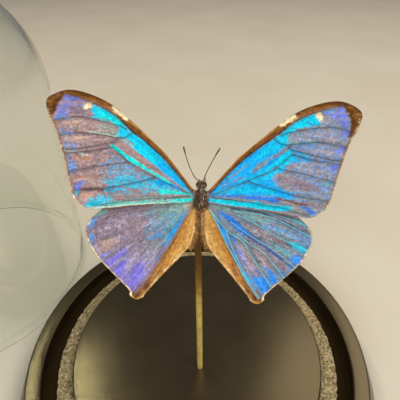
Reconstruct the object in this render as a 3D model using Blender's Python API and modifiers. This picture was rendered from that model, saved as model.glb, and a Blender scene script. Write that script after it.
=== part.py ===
"""Glass display dome taken off its turned base, with a mounted butterfly on a brass rod.

Units are metres, +Z is up and the origin is the centre of the base's underside.
The viewer stands on the -Y side. The dome stands on the same surface, beside the base.
"""
import math

import bmesh
import bpy
from mathutils import Matrix, Vector

MM = 0.001

# Clearances
SEAT_GAP = 0.3 * MM          # between two pieces that rest on or fit round each other
WING_LAP_GAP = 0.4 * MM      # between a forewing and the hindwing that lies under it

# Turned base
BASE_HEIGHT = 15.0 * MM      # felt included
RIM_TOP_RADIUS = 72.5 * MM   # outer edge of the flat rim
RIM_ROUNDING = 0.8 * MM      # from the flat rim to the flared side
FOOT_RADIUS = 77.5 * MM      # the side flares out to its foot
FOOT_LIP = 1.5 * MM          # upright edge at the foot
GROOVE_OUTER_RADIUS = 66.7 * MM
DISC_RADIUS = 54.0 * MM      # raised disc inside the groove
GROOVE_DEPTH = 5.9 * MM
EDGE_CHAMFER = 0.6 * MM
FOOT_CHAMFER = 1.0 * MM

# Felt
SEAT_RING_WIDTH = 6.7 * MM   # felt in the groove, under the dome's rim
SEAT_RING_THICKNESS = 1.0 * MM
PAD_THICKNESS = 1.0 * MM     # felt under the base
PAD_INSET = 1.0 * MM         # from the foot of the base's side

# Brass rod
ROD_RADIUS = 1.15 * MM
ROD_X = 1.3 * MM
ROD_Y = -9.5 * MM
ROD_HOLE_DEPTH = 10.0 * MM
ROD_END_CHAMFER = 0.2 * MM
GLUE_BULGE = 0.5 * MM        # of the glue round the rod's end
GLUE_LENGTH = 2.0 * MM
GLUE_DROP = 0.4 * MM         # from the rod's end to the glue's upper edge

# Specimen: thorax centre above the base's top, and its attitude
SPECIMEN_HEIGHT = 92.4 * MM
SPECIMEN_OFFSET_X = 1.1 * MM
SPECIMEN_FACE_UP_DEG = 38.0  # how far the wings' upper faces look up from level
SPECIMEN_YAW_DEG = 1.0
SPECIMEN_ROLL_DEG = -3.55

THORAX_LENGTH = 6.2 * MM
THORAX_WIDTH = 3.5 * MM
THORAX_DEPTH = 5.2 * MM
THORAX_SET_BACK = 0.9 * MM    # of its middle, behind the wings' hinge line
WING_ROOT_GAP = 0.5 * MM      # between the thorax and a wing's root, where the hair is
HEAD_LENGTH = 1.5 * MM
HEAD_WIDTH = 2.6 * MM
HEAD_DEPTH = 2.2 * MM
EYE_RADIUS = 0.65 * MM
EYE_STAND_OUT = 0.45 * MM    # of an eye beyond the side of the head
PALP_LENGTH = 0.8 * MM
PALP_WIDTH = 0.6 * MM
PALP_SPACING = 1.9 * MM
PALP_DROP = 0.2 * MM
ANTENNA_RADIUS = 0.15 * MM
ANTENNA_CLUB = 1.7           # club radius over shaft radius
ANTENNA_SPACING = 1.1 * MM
ANTENNA_RISE = 0.35 * MM
ANTENNA_LENGTH = 10.4 * MM   # forwards
ANTENNA_REACH = {"left": 5.5 * MM, "right": 4.8 * MM}   # sideways
ANTENNA_BOW = {"left": 0.55, "right": 1.25}             # below 1 it spreads at its root, above 1 at its tip

WING_THICKNESS = 0.5 * MM
FOREWING_DIHEDRAL_DEG = 5.0
HINDWING_DIHEDRAL_DEG = 3.0

# Right wing outlines in millimetres from the wing's root: outwards, then towards the head.
# The first and last points are the corners at the body.
FOREWING_OUTLINE = (
    (0.0, 1.6), (8.8, 12.0), (20.2, 21.9), (27.0, 26.9), (34.5, 29.8), (40.5, 30.2),
    (45.6, 27.2), (44.8, 22.4), (42.2, 17.5), (39.3, 9.4), (36.6, 0.6), (35.3, -2.6),
    (30.2, -5.3), (21.3, -4.2), (9.2, -3.0), (0.0, -2.1),
)
HINDWING_OUTLINE = (
    (0.0, -0.6), (11.8, -0.2), (23.8, -3.2), (30.2, -7.8), (31.8, -11.4), (31.0, -14.6),
    (27.1, -20.1), (18.4, -28.1), (17.7, -30.0), (15.9, -31.2), (13.9, -30.6), (12.6, -28.8),
    (8.0, -23.6), (2.8, -18.0), (0.3, -14.6), (-0.9, -10.5), (-0.9, -5.2),
)

# Glass dome
DOME_RADIUS = 60.5 * MM
DOME_HEIGHT = 170.0 * MM
DOME_WALL = 2.2 * MM
RIM_SWELL = 0.5 * MM         # the fire-polished rim is thicker on both sides
RIM_LENGTH = 4.0 * MM
DOME_STANDING_GAP = 2.3 * MM # between the dome's rim and the base
DOME_BEARING_DEG = 156.0     # direction from the base to the dome

# Facets
BASE_STEPS = 96
DOME_STEPS = 64
EDGE_SEGMENTS = 3
BEAD_SEGMENTS = 8
CROWN_SEGMENTS = 11
WING_SEGMENTS = 3
BORE_STEPS = 24

# Sizes that follow from the ones above
GROOVE_FLOOR = BASE_HEIGHT - GROOVE_DEPTH
PLINTH_FOOT = PAD_THICKNESS + SEAT_GAP
PAD_RADIUS = FOOT_RADIUS - FOOT_CHAMFER - PAD_INSET
HOLE_RADIUS = ROD_RADIUS + SEAT_GAP
HOLE_FLOOR = BASE_HEIGHT - ROD_HOLE_DEPTH
WING_ROOT = THORAX_WIDTH / 2 + WING_ROOT_GAP
HEAD_CENTRE = THORAX_LENGTH / 2 - THORAX_SET_BACK + SEAT_GAP + HEAD_LENGTH / 2
FACE_FRONT = HEAD_CENTRE + HEAD_LENGTH / 2 + SEAT_GAP
DOME_DISTANCE = FOOT_RADIUS + DOME_STANDING_GAP + DOME_RADIUS + RIM_SWELL

# Finishes: colour in linear light, roughness, metallic
FINISHES = {
    "black_lacquer": ((0.012, 0.011, 0.009), 0.32, 0.0),
    "grey_felt": ((0.16, 0.15, 0.12), 0.95, 0.0),
    "black_felt": ((0.02, 0.02, 0.02), 0.95, 0.0),
    "brass": ((0.62, 0.42, 0.13), 0.28, 1.0),
    "clear_glue": ((0.35, 0.27, 0.16), 0.25, 0.0),
    "body_hair": ((0.06, 0.042, 0.03), 0.9, 0.0),
    "eye": ((0.05, 0.035, 0.02), 0.25, 0.0),
    "palp": ((0.55, 0.45, 0.3), 0.85, 0.0),
    "antenna": ((0.03, 0.022, 0.015), 0.6, 0.0),
    "wing_scales": ((0.05, 0.3, 0.75), 0.4, 0.0),
    "clear_glass": ((0.95, 0.97, 0.96), 0.02, 0.0),
}


def clear_scene():
    """Remove every object that the file opened with."""
    for old in list(bpy.data.objects):
        bpy.data.objects.remove(old, do_unlink=True)


def new_collection(name):
    """A collection of that name, linked to the scene."""
    made = bpy.data.collections.new(name)
    bpy.context.scene.collection.children.link(made)
    return made


def finish(name):
    """The Principled material for one of FINISHES."""
    material = bpy.data.materials.get(name)
    if material is None:
        colour, roughness, metallic = FINISHES[name]
        material = bpy.data.materials.new(name)
        material.use_nodes = True
        shader = material.node_tree.nodes["Principled BSDF"]
        shader.inputs["Base Color"].default_value = (*colour, 1.0)
        shader.inputs["Roughness"].default_value = roughness
        shader.inputs["Metallic"].default_value = metallic
        material.diffuse_color = (*colour, 1.0)
    return material


def add_object(name, data, parent=None, material=None):
    """Link an object to the parts, under its parent and with its finish."""
    made = bpy.data.objects.new(name, data)
    PARTS.objects.link(made)
    made.parent = parent
    if material:
        data.materials.append(finish(material))
    return made


def add_empty(name, location, parent=None):
    """A frame that pieces are placed in."""
    made = bpy.data.objects.new(name, None)
    made.empty_display_size = 0.01
    made.location = location
    made.parent = parent
    PARTS.objects.link(made)
    return made


def smooth(mesh, sharp_deg=35.0):
    """Shade round faces smooth and keep the edges crisp."""
    mesh.shade_smooth()
    mesh.set_sharp_from_angle(angle=math.radians(sharp_deg))


def turned(name, profile, steps, parent, material, closed=False):
    """Turn a profile of (radius, height) points, listed down its outer side, about Z."""
    mesh = bpy.data.meshes.new(name)
    points = [(radius, 0.0, height) for radius, height in profile]
    edges = [(i, i + 1) for i in range(len(points) - 1)]
    if closed:
        edges.append((len(points) - 1, 0))
    mesh.from_pydata(points, edges, [])
    made = add_object(name, mesh, parent, material)
    screw = made.modifiers.new("turn", "SCREW")
    screw.angle = math.tau
    screw.steps = steps
    screw.render_steps = steps
    screw.use_merge_vertices = True
    screw.merge_threshold = 0.00001
    screw.use_normal_calculate = False
    screw.use_smooth_shade = True
    return made


def cylinder_mesh(name, radius, low, high, steps):
    """A closed cylinder along Z between two heights."""
    mesh = bpy.data.meshes.new(name)
    shape = bmesh.new()
    bmesh.ops.create_cone(
        shape, cap_ends=True, segments=steps, radius1=radius, radius2=radius, depth=high - low,
        matrix=Matrix.Translation((0.0, 0.0, (low + high) / 2)),
    )
    shape.to_mesh(mesh)
    shape.free()
    return mesh


def ellipsoid_mesh(name, half_sizes, around=20, along=12):
    """A closed ellipsoid about the origin, its poles along Y."""
    mesh = bpy.data.meshes.new(name)
    shape = bmesh.new()
    bmesh.ops.create_uvsphere(shape, u_segments=around, v_segments=along, radius=1.0)
    poles_along_y = Matrix.Rotation(math.radians(-90.0), 4, "X")
    bmesh.ops.transform(shape, matrix=Matrix.Diagonal((*half_sizes, 1.0)) @ poles_along_y, verts=shape.verts)
    shape.to_mesh(mesh)
    shape.free()
    mesh.shade_smooth()
    return mesh


def ellipsoid(name, half_sizes, location, parent, material, around=20, along=12):
    """An ellipsoid piece."""
    made = add_object(name, ellipsoid_mesh(name, half_sizes, around, along), parent, material)
    made.location = location
    return made


def cut_away(target, name, mesh, parent, location):
    """Cut a guide mesh out of a piece with a live Boolean."""
    cutter = bpy.data.objects.new(name, mesh)
    CUTTERS.objects.link(cutter)
    cutter.parent = parent
    cutter.location = location
    cutter.hide_render = True
    cutter.display_type = "WIRE"
    cut = target.modifiers.new(name, "BOOLEAN")
    cut.operation = "DIFFERENCE"
    cut.solver = "EXACT"
    cut.object = cutter


def arc(centre, radius, start_deg, end_deg, segments):
    """Points of an arc in (radius, height), both ends included."""
    angles = [math.radians(start_deg + (end_deg - start_deg) * i / segments) for i in range(segments + 1)]
    return [(centre[0] + radius * math.cos(a), centre[1] + radius * math.sin(a)) for a in angles]


def plinth_profile():
    """Raised disc, groove, flat rim, flared side and foot, from the top centre down."""
    top = BASE_HEIGHT
    edge = EDGE_CHAMFER
    lip_top = PLINTH_FOOT + FOOT_CHAMFER + FOOT_LIP
    flare_deg = math.degrees(math.atan2(FOOT_RADIUS - RIM_TOP_RADIUS, top - lip_top))
    return [
        (0.0, top),
        (DISC_RADIUS - edge, top),
        (DISC_RADIUS, top - edge),
        (DISC_RADIUS, GROOVE_FLOOR),
        (GROOVE_OUTER_RADIUS, GROOVE_FLOOR),
        (GROOVE_OUTER_RADIUS, top - edge),
        (GROOVE_OUTER_RADIUS + edge, top),
        *arc((RIM_TOP_RADIUS, top - RIM_ROUNDING), RIM_ROUNDING, 90.0, flare_deg, EDGE_SEGMENTS),
        (FOOT_RADIUS, lip_top),
        (FOOT_RADIUS, PLINTH_FOOT + FOOT_CHAMFER),
        (FOOT_RADIUS - FOOT_CHAMFER, PLINTH_FOOT),
        (0.0, PLINTH_FOOT),
    ]


def dome_profile():
    """Outside of the crown and wall, round the rim, then up the inside to the crown."""
    inner = DOME_RADIUS - DOME_WALL
    spring = DOME_HEIGHT - DOME_RADIUS
    half_rim = DOME_WALL / 2 + RIM_SWELL
    middle = DOME_RADIUS - DOME_WALL / 2
    bead = arc((middle, half_rim), half_rim, 0.0, -180.0, BEAD_SEGMENTS)
    outside = arc((0.0, spring), DOME_RADIUS, 90.0, 0.0, CROWN_SEGMENTS)
    inside = arc((0.0, spring), inner, 0.0, 90.0, CROWN_SEGMENTS)
    outside[0] = (0.0, DOME_HEIGHT)
    inside[-1] = (0.0, spring + inner)
    return [*outside, (DOME_RADIUS, RIM_LENGTH), *bead, (inner, RIM_LENGTH), *inside]


def build_base():
    """Turned plinth with its groove and rod hole, and the two felts."""
    plinth = turned("base_plinth", plinth_profile(), BASE_STEPS, None, "black_lacquer")
    bore = cylinder_mesh("rod_hole", HOLE_RADIUS, HOLE_FLOOR, BASE_HEIGHT + GROOVE_DEPTH, BORE_STEPS)
    cut_away(plinth, "rod_hole", bore, None, (ROD_X, ROD_Y, 0.0))

    ring_inner = DISC_RADIUS + SEAT_GAP
    ring_outer = ring_inner + SEAT_RING_WIDTH
    ring_low = GROOVE_FLOOR + SEAT_GAP
    ring_high = ring_low + SEAT_RING_THICKNESS
    ring = [(ring_inner, ring_high), (ring_outer, ring_high), (ring_outer, ring_low), (ring_inner, ring_low)]
    turned("felt_seat_ring", ring, BASE_STEPS, None, "grey_felt", closed=True)

    pad = cylinder_mesh("underside_felt", PAD_RADIUS, 0.0, PAD_THICKNESS, BASE_STEPS)
    smooth(pad)
    add_object("underside_felt", pad, None, "black_felt")


def thorax_half_sizes(extra=0.0):
    """Half width, half length and half depth of the thorax, grown by a clearance."""
    return tuple(size / 2 + extra for size in (THORAX_WIDTH, THORAX_LENGTH, THORAX_DEPTH))


def thorax_reach_down(attitude):
    """How far the tilted thorax reaches below its own centre."""
    down = attitude.transposed() @ Vector((0.0, 0.0, -1.0))
    return math.sqrt(sum((part * half) ** 2 for part, half in zip(down, thorax_half_sizes())))


def build_rod(turn, rod_top):
    """Brass rod from the bottom of its hole up to the thorax. The frame sits at the base's top."""
    foot = HOLE_FLOOR + SEAT_GAP - BASE_HEIGHT
    chamfer = ROD_END_CHAMFER
    profile = [
        (0.0, rod_top), (ROD_RADIUS - chamfer, rod_top), (ROD_RADIUS, rod_top - chamfer),
        (ROD_RADIUS, foot + chamfer), (ROD_RADIUS - chamfer, foot), (0.0, foot),
    ]
    turned("brass_rod", profile, BORE_STEPS, turn, "brass")


def build_glue(turn, rod_top):
    """Collar of glue that grips the rod's end, close under the thorax."""
    inner = ROD_RADIUS + SEAT_GAP
    high = rod_top - GLUE_DROP
    low = high - GLUE_LENGTH
    waist = inner + GLUE_BULGE / 2
    profile = [(inner, high), (waist, high), (inner + GLUE_BULGE, (low + high) / 2), (waist, low), (inner, low)]
    turned("glue_collar", profile, BORE_STEPS, turn, "clear_glue", closed=True)


def wing(name, outline, side, dihedral_deg, lift, body):
    """A flat wing from its outline, hinged up at the root; side is 1 for right and -1 for left."""
    sheet = bpy.data.curves.new(name, "CURVE")
    sheet.dimensions = "2D"
    sheet.fill_mode = "BOTH"
    sheet.extrude = WING_THICKNESS / 2
    sheet.resolution_u = WING_SEGMENTS
    spline = sheet.splines.new("BEZIER")
    spline.use_cyclic_u = True
    spline.bezier_points.add(len(outline) - 1)
    corners = (0, len(outline) - 1)
    for index, (outwards, forwards) in enumerate(outline):
        point = spline.bezier_points[index]
        point.co = (side * outwards * MM, forwards * MM, 0.0)
        handle = "VECTOR" if index in corners else "AUTO"
        point.handle_left_type = handle
        point.handle_right_type = handle
    made = add_object(name, sheet, body, "wing_scales")
    made.location = (side * WING_ROOT, 0.0, lift)
    made.rotation_euler = (0.0, -side * math.radians(dihedral_deg), 0.0)


def antenna(word, side, body):
    """A thin clubbed feeler that bows outwards from the front of the head."""
    name = f"antenna_{word}"
    shaft = bpy.data.curves.new(name, "CURVE")
    shaft.dimensions = "3D"
    shaft.bevel_depth = ANTENNA_RADIUS
    shaft.bevel_resolution = 2
    shaft.use_fill_caps = True
    count = 9
    club_from = 0.8
    spline = shaft.splines.new("POLY")
    spline.points.add(count - 1)
    for index, point in enumerate(spline.points):
        along = index / (count - 1)
        outwards = ANTENNA_SPACING / 2 + ANTENNA_REACH[word] * along ** ANTENNA_BOW[word]
        forwards = FACE_FRONT + ANTENNA_RADIUS + ANTENNA_LENGTH * along
        rise = ANTENNA_RISE * (1.0 + along)
        point.co = (side * outwards, forwards, rise, 1.0)
        point.radius = ANTENNA_CLUB if along > club_from else 1.0
    add_object(name, shaft, body, "antenna")


def build_head(body):
    """Head with a socket for each eye, the eyes, the palps and the antennae."""
    head_half = (HEAD_WIDTH / 2, HEAD_LENGTH / 2, HEAD_DEPTH / 2)
    head = ellipsoid("head", head_half, (0.0, HEAD_CENTRE, 0.0), body, "body_hair")
    eye_half = (EYE_RADIUS,) * 3
    socket_half = (EYE_RADIUS + SEAT_GAP,) * 3
    palp_half = (PALP_WIDTH / 2, PALP_LENGTH / 2, PALP_WIDTH / 2)
    for word, side in (("left", -1), ("right", 1)):
        eye_at = (side * (HEAD_WIDTH / 2 + EYE_STAND_OUT - EYE_RADIUS), HEAD_CENTRE, 0.0)
        ellipsoid(f"eye_{word}", eye_half, eye_at, body, "eye", 16, 10)
        socket = ellipsoid_mesh(f"eye_socket_{word}", socket_half, 16, 10)
        cut_away(head, f"eye_socket_{word}", socket, body, eye_at)
        palp_at = (side * PALP_SPACING / 2, FACE_FRONT + PALP_LENGTH / 2, -PALP_DROP)
        ellipsoid(f"palp_{word}", palp_half, palp_at, body, "palp", 12, 8)
        antenna(word, side, body)


def build_specimen():
    """Rod, glue and butterfly, all under one frame that turns about the rod."""
    turn = add_empty("specimen_turn", (ROD_X, ROD_Y, BASE_HEIGHT))
    tilt = math.radians(90.0 - SPECIMEN_FACE_UP_DEG)
    roll = math.radians(SPECIMEN_ROLL_DEG)
    yaw = math.radians(SPECIMEN_YAW_DEG)
    attitude = Matrix.Rotation(yaw, 3, "Z") @ Matrix.Rotation(tilt, 3, "X") @ Matrix.Rotation(roll, 3, "Z")
    body = add_empty("specimen_body", (SPECIMEN_OFFSET_X, 0.0, SPECIMEN_HEIGHT), turn)
    body.rotation_mode = "QUATERNION"
    body.rotation_quaternion = attitude.to_quaternion()

    thorax_at = Vector((0.0, -THORAX_SET_BACK, 0.0))
    thorax_height = SPECIMEN_HEIGHT + (attitude @ thorax_at).z
    rod_top = thorax_height - thorax_reach_down(attitude) - SEAT_GAP
    build_rod(turn, rod_top)
    build_glue(turn, rod_top)
    ellipsoid("thorax", thorax_half_sizes(), thorax_at, body, "body_hair", 24, 14)
    build_head(body)
    lap = (WING_THICKNESS + WING_LAP_GAP) / 2
    for word, side in (("left", -1), ("right", 1)):
        wing(f"forewing_{word}", FOREWING_OUTLINE, side, FOREWING_DIHEDRAL_DEG, lap, body)
        wing(f"hindwing_{word}", HINDWING_OUTLINE, side, HINDWING_DIHEDRAL_DEG, -lap, body)


def build_dome():
    """Blown glass dome, open below, standing beside the base."""
    bearing = math.radians(DOME_BEARING_DEG)
    place = (DOME_DISTANCE * math.cos(bearing), DOME_DISTANCE * math.sin(bearing), 0.0)
    stand = add_empty("dome_lift", place)
    turned("glass_dome", dome_profile(), DOME_STEPS, stand, "clear_glass")


clear_scene()
PARTS = new_collection("bell_jar_dome")
CUTTERS = new_collection("cutters")
build_base()
build_specimen()
build_dome()
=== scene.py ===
"""Dresses the display dome: turned black base, felt seat, brass rod, mounted butterfly, blown glass.

Sizes in the fields are millimetres and meshes are metres. +Z is up and the viewer stands on -Y.
"""
from __future__ import annotations

import logging
import math
from contextlib import contextmanager
from dataclasses import dataclass, field
from enum import Enum
from typing import Iterator, Sequence

import bpy
import numpy as np
from mathutils import Matrix, Vector

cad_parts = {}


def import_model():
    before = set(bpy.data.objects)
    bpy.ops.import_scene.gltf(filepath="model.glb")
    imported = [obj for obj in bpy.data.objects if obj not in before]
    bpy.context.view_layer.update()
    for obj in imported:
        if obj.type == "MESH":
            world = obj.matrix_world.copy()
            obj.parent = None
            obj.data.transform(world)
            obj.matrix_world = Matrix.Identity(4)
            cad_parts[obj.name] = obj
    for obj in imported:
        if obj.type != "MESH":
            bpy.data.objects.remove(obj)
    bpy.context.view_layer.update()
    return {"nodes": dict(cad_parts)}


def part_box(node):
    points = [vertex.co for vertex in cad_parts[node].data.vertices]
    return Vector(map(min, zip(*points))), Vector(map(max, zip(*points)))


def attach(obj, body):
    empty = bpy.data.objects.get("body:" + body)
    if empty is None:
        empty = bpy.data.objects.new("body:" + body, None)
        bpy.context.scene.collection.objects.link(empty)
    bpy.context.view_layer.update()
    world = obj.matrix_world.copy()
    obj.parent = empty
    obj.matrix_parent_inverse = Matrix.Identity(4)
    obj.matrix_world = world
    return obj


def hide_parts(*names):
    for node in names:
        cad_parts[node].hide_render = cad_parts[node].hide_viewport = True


LOG = logging.getLogger("display_dome")
MM = 0.001
PER_METRE = 1000.0
LATTICE_CELLS = 97
# Each noise pattern is read at its own distance from the origin.
FELT_SHIFT = 80.0
WING_SHIFT = 60.0
STREAK_SHIFT = 90.0
GLINT_SHIFT = 30.0
GLUE_SHIFT = 20
BODY_SHIFT = 9
# Each zone of a wing draws its speckle from seeds counted up from these.
SPECK_SEEDS = 500
GRAIN_SEEDS = 700

Array = np.ndarray
Piece = bpy.types.Object
Tree = bpy.types.NodeTree
Node = bpy.types.Node
Point = tuple[float, float]
Route = tuple[Point, ...]
Sockets = dict[str | int, object]


class Side(Enum):
    """A side of the body, with the sign of its sideways axis."""

    LEFT = -1
    RIGHT = 1

    @property
    def word(self) -> str:
        """The side's name as the pieces carry it."""
        return self.name.lower()


class Tone(Enum):
    """Colours of the wing scales, hair and edges, as sRGB hex."""

    TURQUOISE = "#14E6E4"
    CYAN = "#06CAF2"
    AZURE = "#10ACF8"
    ROYAL = "#2A78E0"
    BLUE = "#5C96DC"
    LOW_BLUE = "#348CEE"
    VIOLET = "#7280DA"
    PURPLE = "#8078DC"
    LILAC = "#A7A0C8"
    NAVY = "#5560A0"
    MAUVE = "#9F8487"
    PLUM = "#8E7C88"
    DUSK = "#877A8C"
    GRAPHITE = "#4E5266"
    SLATE = "#8B8E97"
    STEEL = "#7B8792"
    ROSE = "#B19792"
    PEACH = "#C4A08C"
    SAGE = "#9FA39B"
    TEAL = "#5EAEC2"
    SKY = "#4FA4D4"
    AQUA = "#66CCC2"
    SEA = "#7AA8A2"
    FROST = "#D2C8CC"
    BRUISE = "#665260"
    # MINT and ICE serve as painted highlights: pale lines along veins and the trailing edge.
    MINT = "#BCE2D0"
    ICE = "#7AD8EC"
    DEEP_TEAL = "#1F3A44"
    RUST = "#B07C60"
    DARK_RUST = "#6E4A4C"
    CLAY = "#9A6C58"
    TAN = "#B07C3C"
    CHESTNUT = "#85551F"
    BARK = "#58330C"
    UMBER = "#3B2410"
    GOLD = "#D0A45E"
    AMBER = "#BC863E"
    COCOA = "#8F613C"
    CREAM = "#F0DEB0"
    STRAW = "#D8BE8C"
    HAIR_GREY = "#BCB09A"
    HAIR_BROWN = "#5C3A18"
    HAIR_DARK = "#2A1608"
    HAIR_RUST = "#7A4C20"

    @property
    def light(self) -> Array:
        """The tone's linear red, green and blue."""
        return np.array(linear(self.value)[:3])


def linear(colour: str) -> tuple[float, float, float, float]:
    """Turn an sRGB hex colour to linear light.

    Args:
        colour: six hex digits after a hash sign.
    Returns:
        red, green, blue and an alpha of one.
    """
    parts = [int(colour[start:start + 2], 16) / 255 for start in (1, 3, 5)]
    red, green, blue = (p / 12.92 if p <= 0.04045 else ((p + 0.055) / 1.055) ** 2.4 for p in parts)
    return red, green, blue, 1.0


def plug(tree: Tree, node: Node, inputs: Sockets) -> None:
    """Give a node's sockets their values and links.

    Args:
        tree: the material's node tree.
        node: the node that takes them.
        inputs: a value, an output, or a node for its first output, for each socket.
    """
    for socket, value in inputs.items():
        if isinstance(value, Node):
            value = value.outputs[0]
        if isinstance(value, bpy.types.NodeSocket):
            tree.links.new(value, node.inputs[socket])
        else:
            node.inputs[socket].default_value = value


def add_node(
    tree: Tree,
    kind: str,
    inputs: Sockets | None = None,
    stops: Sequence[tuple[float, str]] = (),
    **settings: object,
) -> Node:
    """Add a node with its settings, values and links.

    Args:
        tree: the material's node tree.
        kind: the node's type name after ShaderNode.
        inputs: what goes into each socket, as plug takes it.
        stops: places and hex colours of a colour ramp.
        **settings: properties of the node.
    Returns:
        the new node.
    """
    node = tree.nodes.new("ShaderNode" + kind)
    for name, value in settings.items():
        setattr(node, name, value)
    plug(tree, node, inputs or {})
    if stops:
        elements = node.color_ramp.elements
        elements.remove(elements[1])
        elements[0].position = stops[0][0]
        elements[0].color = linear(stops[0][1])
        for place, colour in stops[1:]:
            elements.new(place).color = linear(colour)
    return node


def smooth_step(value: Array) -> Array:
    """Ease a value from 0 to 1, flat at both ends."""
    held = np.clip(value, 0.0, 1.0)
    return held * held * (3.0 - 2.0 * held)


def unit_rows(vectors: Array) -> Array:
    """Scale each row to a length of one."""
    return vectors / np.linalg.norm(vectors, axis=1, keepdims=True)


def lattice_noise(x: Array, y: Array, size: float, seed: int) -> Array:
    """Smooth random values on a square lattice.

    Args:
        x: places along the first axis.
        y: places along the second axis.
        size: width of a lattice cell.
        seed: seed of the random table.
    Returns:
        values from 0 to 1.
    """
    table = np.random.default_rng(seed).random((LATTICE_CELLS, LATTICE_CELLS))
    column, row = np.floor(x / size), np.floor(y / size)
    across, along = smooth_step(x / size - column), smooth_step(y / size - row)
    i, j = column.astype(int) % LATTICE_CELLS, row.astype(int) % LATTICE_CELLS
    i_next, j_next = (i + 1) % LATTICE_CELLS, (j + 1) % LATTICE_CELLS
    low = table[i, j] * (1 - across) + table[i_next, j] * across
    high = table[i, j_next] * (1 - across) + table[i_next, j_next] * across
    return low * (1 - along) + high * along


def smooth_line(points: Sequence[Sequence[float]], per_span: int) -> Array:
    """Run a smooth curve through points.

    Args:
        points: the places it passes, of two or three coordinates.
        per_span: how many points each span between two places gets.
    Returns:
        the curve's points, one row each.
    """
    fixed = np.asarray(points, float)
    if len(fixed) < 3:
        share = np.linspace(0.0, 1.0, per_span + 1)[:, None]
        return fixed[0] * (1 - share) + fixed[-1] * share
    ends = np.vstack([2 * fixed[0] - fixed[1], fixed, 2 * fixed[-1] - fixed[-2]])
    share = np.linspace(0.0, 1.0, per_span, endpoint=False)[:, None]
    spans = []
    for a, b, c, d in zip(ends, ends[1:], ends[2:], ends[3:]):
        curve = 2 * b + (c - a) * share + (2 * a - 5 * b + 4 * c - d) * share ** 2
        spans.append(0.5 * (curve + (3 * b - a - 3 * c + d) * share ** 3))
    return np.vstack([*spans, fixed[-1:]])


def even_line(points: Array, count: int) -> Array:
    """Spread points evenly along a line.

    Args:
        points: the line's points, one row each.
        count: how many points come back.
    Returns:
        points at equal distances along the line.
    """
    steps = np.hypot(*np.diff(points[:, :2], axis=0).T)
    reach = np.concatenate([[0.0], np.cumsum(steps)])
    wanted = np.linspace(0.0, reach[-1], count)
    return np.stack([np.interp(wanted, reach, column) for column in points.T], axis=1)


def route_distance(x: Array, y: Array, route: Array) -> tuple[Array, Array]:
    """Measure how far places are from a route.

    Args:
        x: places along the first axis.
        y: places along the second axis.
        route: the route's points, one row each.
    Returns:
        the distance, and how far along the route its nearest point is, from 0 to 1.
    """
    steps = np.hypot(*np.diff(route, axis=0).T)
    reach = np.concatenate([[0.0], np.cumsum(steps)])
    nearest = np.full(x.shape, np.inf)
    along = np.zeros(x.shape)
    for index, step in enumerate(steps):
        start, run = route[index], route[index + 1] - route[index]
        share = ((x - start[0]) * run[0] + (y - start[1]) * run[1]) / max(step * step, 1e-9)
        share = np.clip(share, 0.0, 1.0)
        distance = np.hypot(x - start[0] - share * run[0], y - start[1] - share * run[1])
        closer = distance < nearest
        nearest = np.where(closer, distance, nearest)
        along = np.where(closer, (reach[index] + share * step) / max(reach[-1], 1e-9), along)
    return nearest, along


def inside_area(x: Array, y: Array, corners: Array) -> Array:
    """Tell which places lie inside a closed outline.

    Args:
        x: places along the first axis.
        y: places along the second axis.
        corners: the outline's points, one row each.
    Returns:
        true for each place inside.
    """
    inside = np.zeros(x.shape, bool)
    for (ax, ay), (bx, by) in zip(corners, np.roll(corners, -1, axis=0)):
        spans = (ay > y) != (by > y)
        rise = by - ay if by != ay else 1e-9
        inside ^= spans & (x < (bx - ax) * (y - ay) / rise + ax)
    return inside


def deselect() -> None:
    """Leave nothing selected, so that an operator acts only on what comes next."""
    bpy.ops.object.select_all(action="DESELECT")


def take(piece: Piece) -> None:
    """Select one piece alone and make it active.

    Args:
        piece: the piece to select.
    """
    deselect()
    piece.select_set(True)
    bpy.context.view_layer.objects.active = piece


@contextmanager
def editing(piece: Piece) -> Iterator[None]:
    """Work on one piece in edit mode.

    Args:
        piece: the piece to edit.
    Returns:
        a context that goes back to object mode at its end.
    """
    take(piece)
    bpy.ops.object.mode_set(mode="EDIT")
    yield
    bpy.ops.object.mode_set(mode="OBJECT")


def started(name: str) -> Piece:
    """Name the primitive that was just added and put its place in its mesh.

    Args:
        name: the piece's name.
    Returns:
        the piece.
    """
    piece = bpy.context.active_object
    piece.name = name
    piece.data.name = name
    bpy.ops.object.transform_apply(location=True, rotation=True, scale=True)
    return piece


def points_of(piece: Piece) -> Array:
    """Read the places of a piece's vertices.

    Args:
        piece: the piece to read.
    Returns:
        places in metres, one row each.
    """
    places = np.empty(len(piece.data.vertices) * 3)
    piece.data.vertices.foreach_get("co", places)
    return places.reshape(-1, 3)


def move_points(piece: Piece, places: Array) -> None:
    """Put a piece's vertices at new places."""
    piece.data.vertices.foreach_set("co", np.ascontiguousarray(places, float).ravel())
    piece.data.update()


def paint_points(piece: Piece, name: str, colours: Array) -> None:
    """Store a linear colour on each vertex.

    Args:
        piece: the piece to paint.
        name: the attribute's name, as the material reads it.
        colours: red, green and blue, one row for each vertex.
    """
    layer = piece.data.attributes.new(name, "FLOAT_COLOR", "POINT")
    layer.data.foreach_set("color", np.column_stack([colours, np.ones(len(colours))]).ravel())


def mark_points(piece: Piece, name: str, vectors: Array) -> None:
    """Store a vector on each vertex, for patterns that follow the surface."""
    layer = piece.data.attributes.new(name, "FLOAT_VECTOR", "POINT")
    layer.data.foreach_set("vector", np.ascontiguousarray(vectors, float).ravel())


def apply_modifier(piece: Piece, kind: str, **settings: object) -> None:
    """Add a modifier with its settings and apply it.

    Args:
        piece: the piece to change.
        kind: the modifier's type name.
        **settings: properties of the modifier.
    """
    take(piece)
    modifier = piece.modifiers.new(kind.lower(), kind)
    for name, value in settings.items():
        setattr(modifier, name, value)
    bpy.ops.object.modifier_apply(modifier=modifier.name)


def shade(piece: Piece, sharp_deg: float = 35.0) -> None:
    """Shade a piece smooth and keep edges sharper than an angle crisp."""
    take(piece)
    bpy.ops.object.shade_smooth_by_angle(angle=math.radians(sharp_deg))


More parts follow.
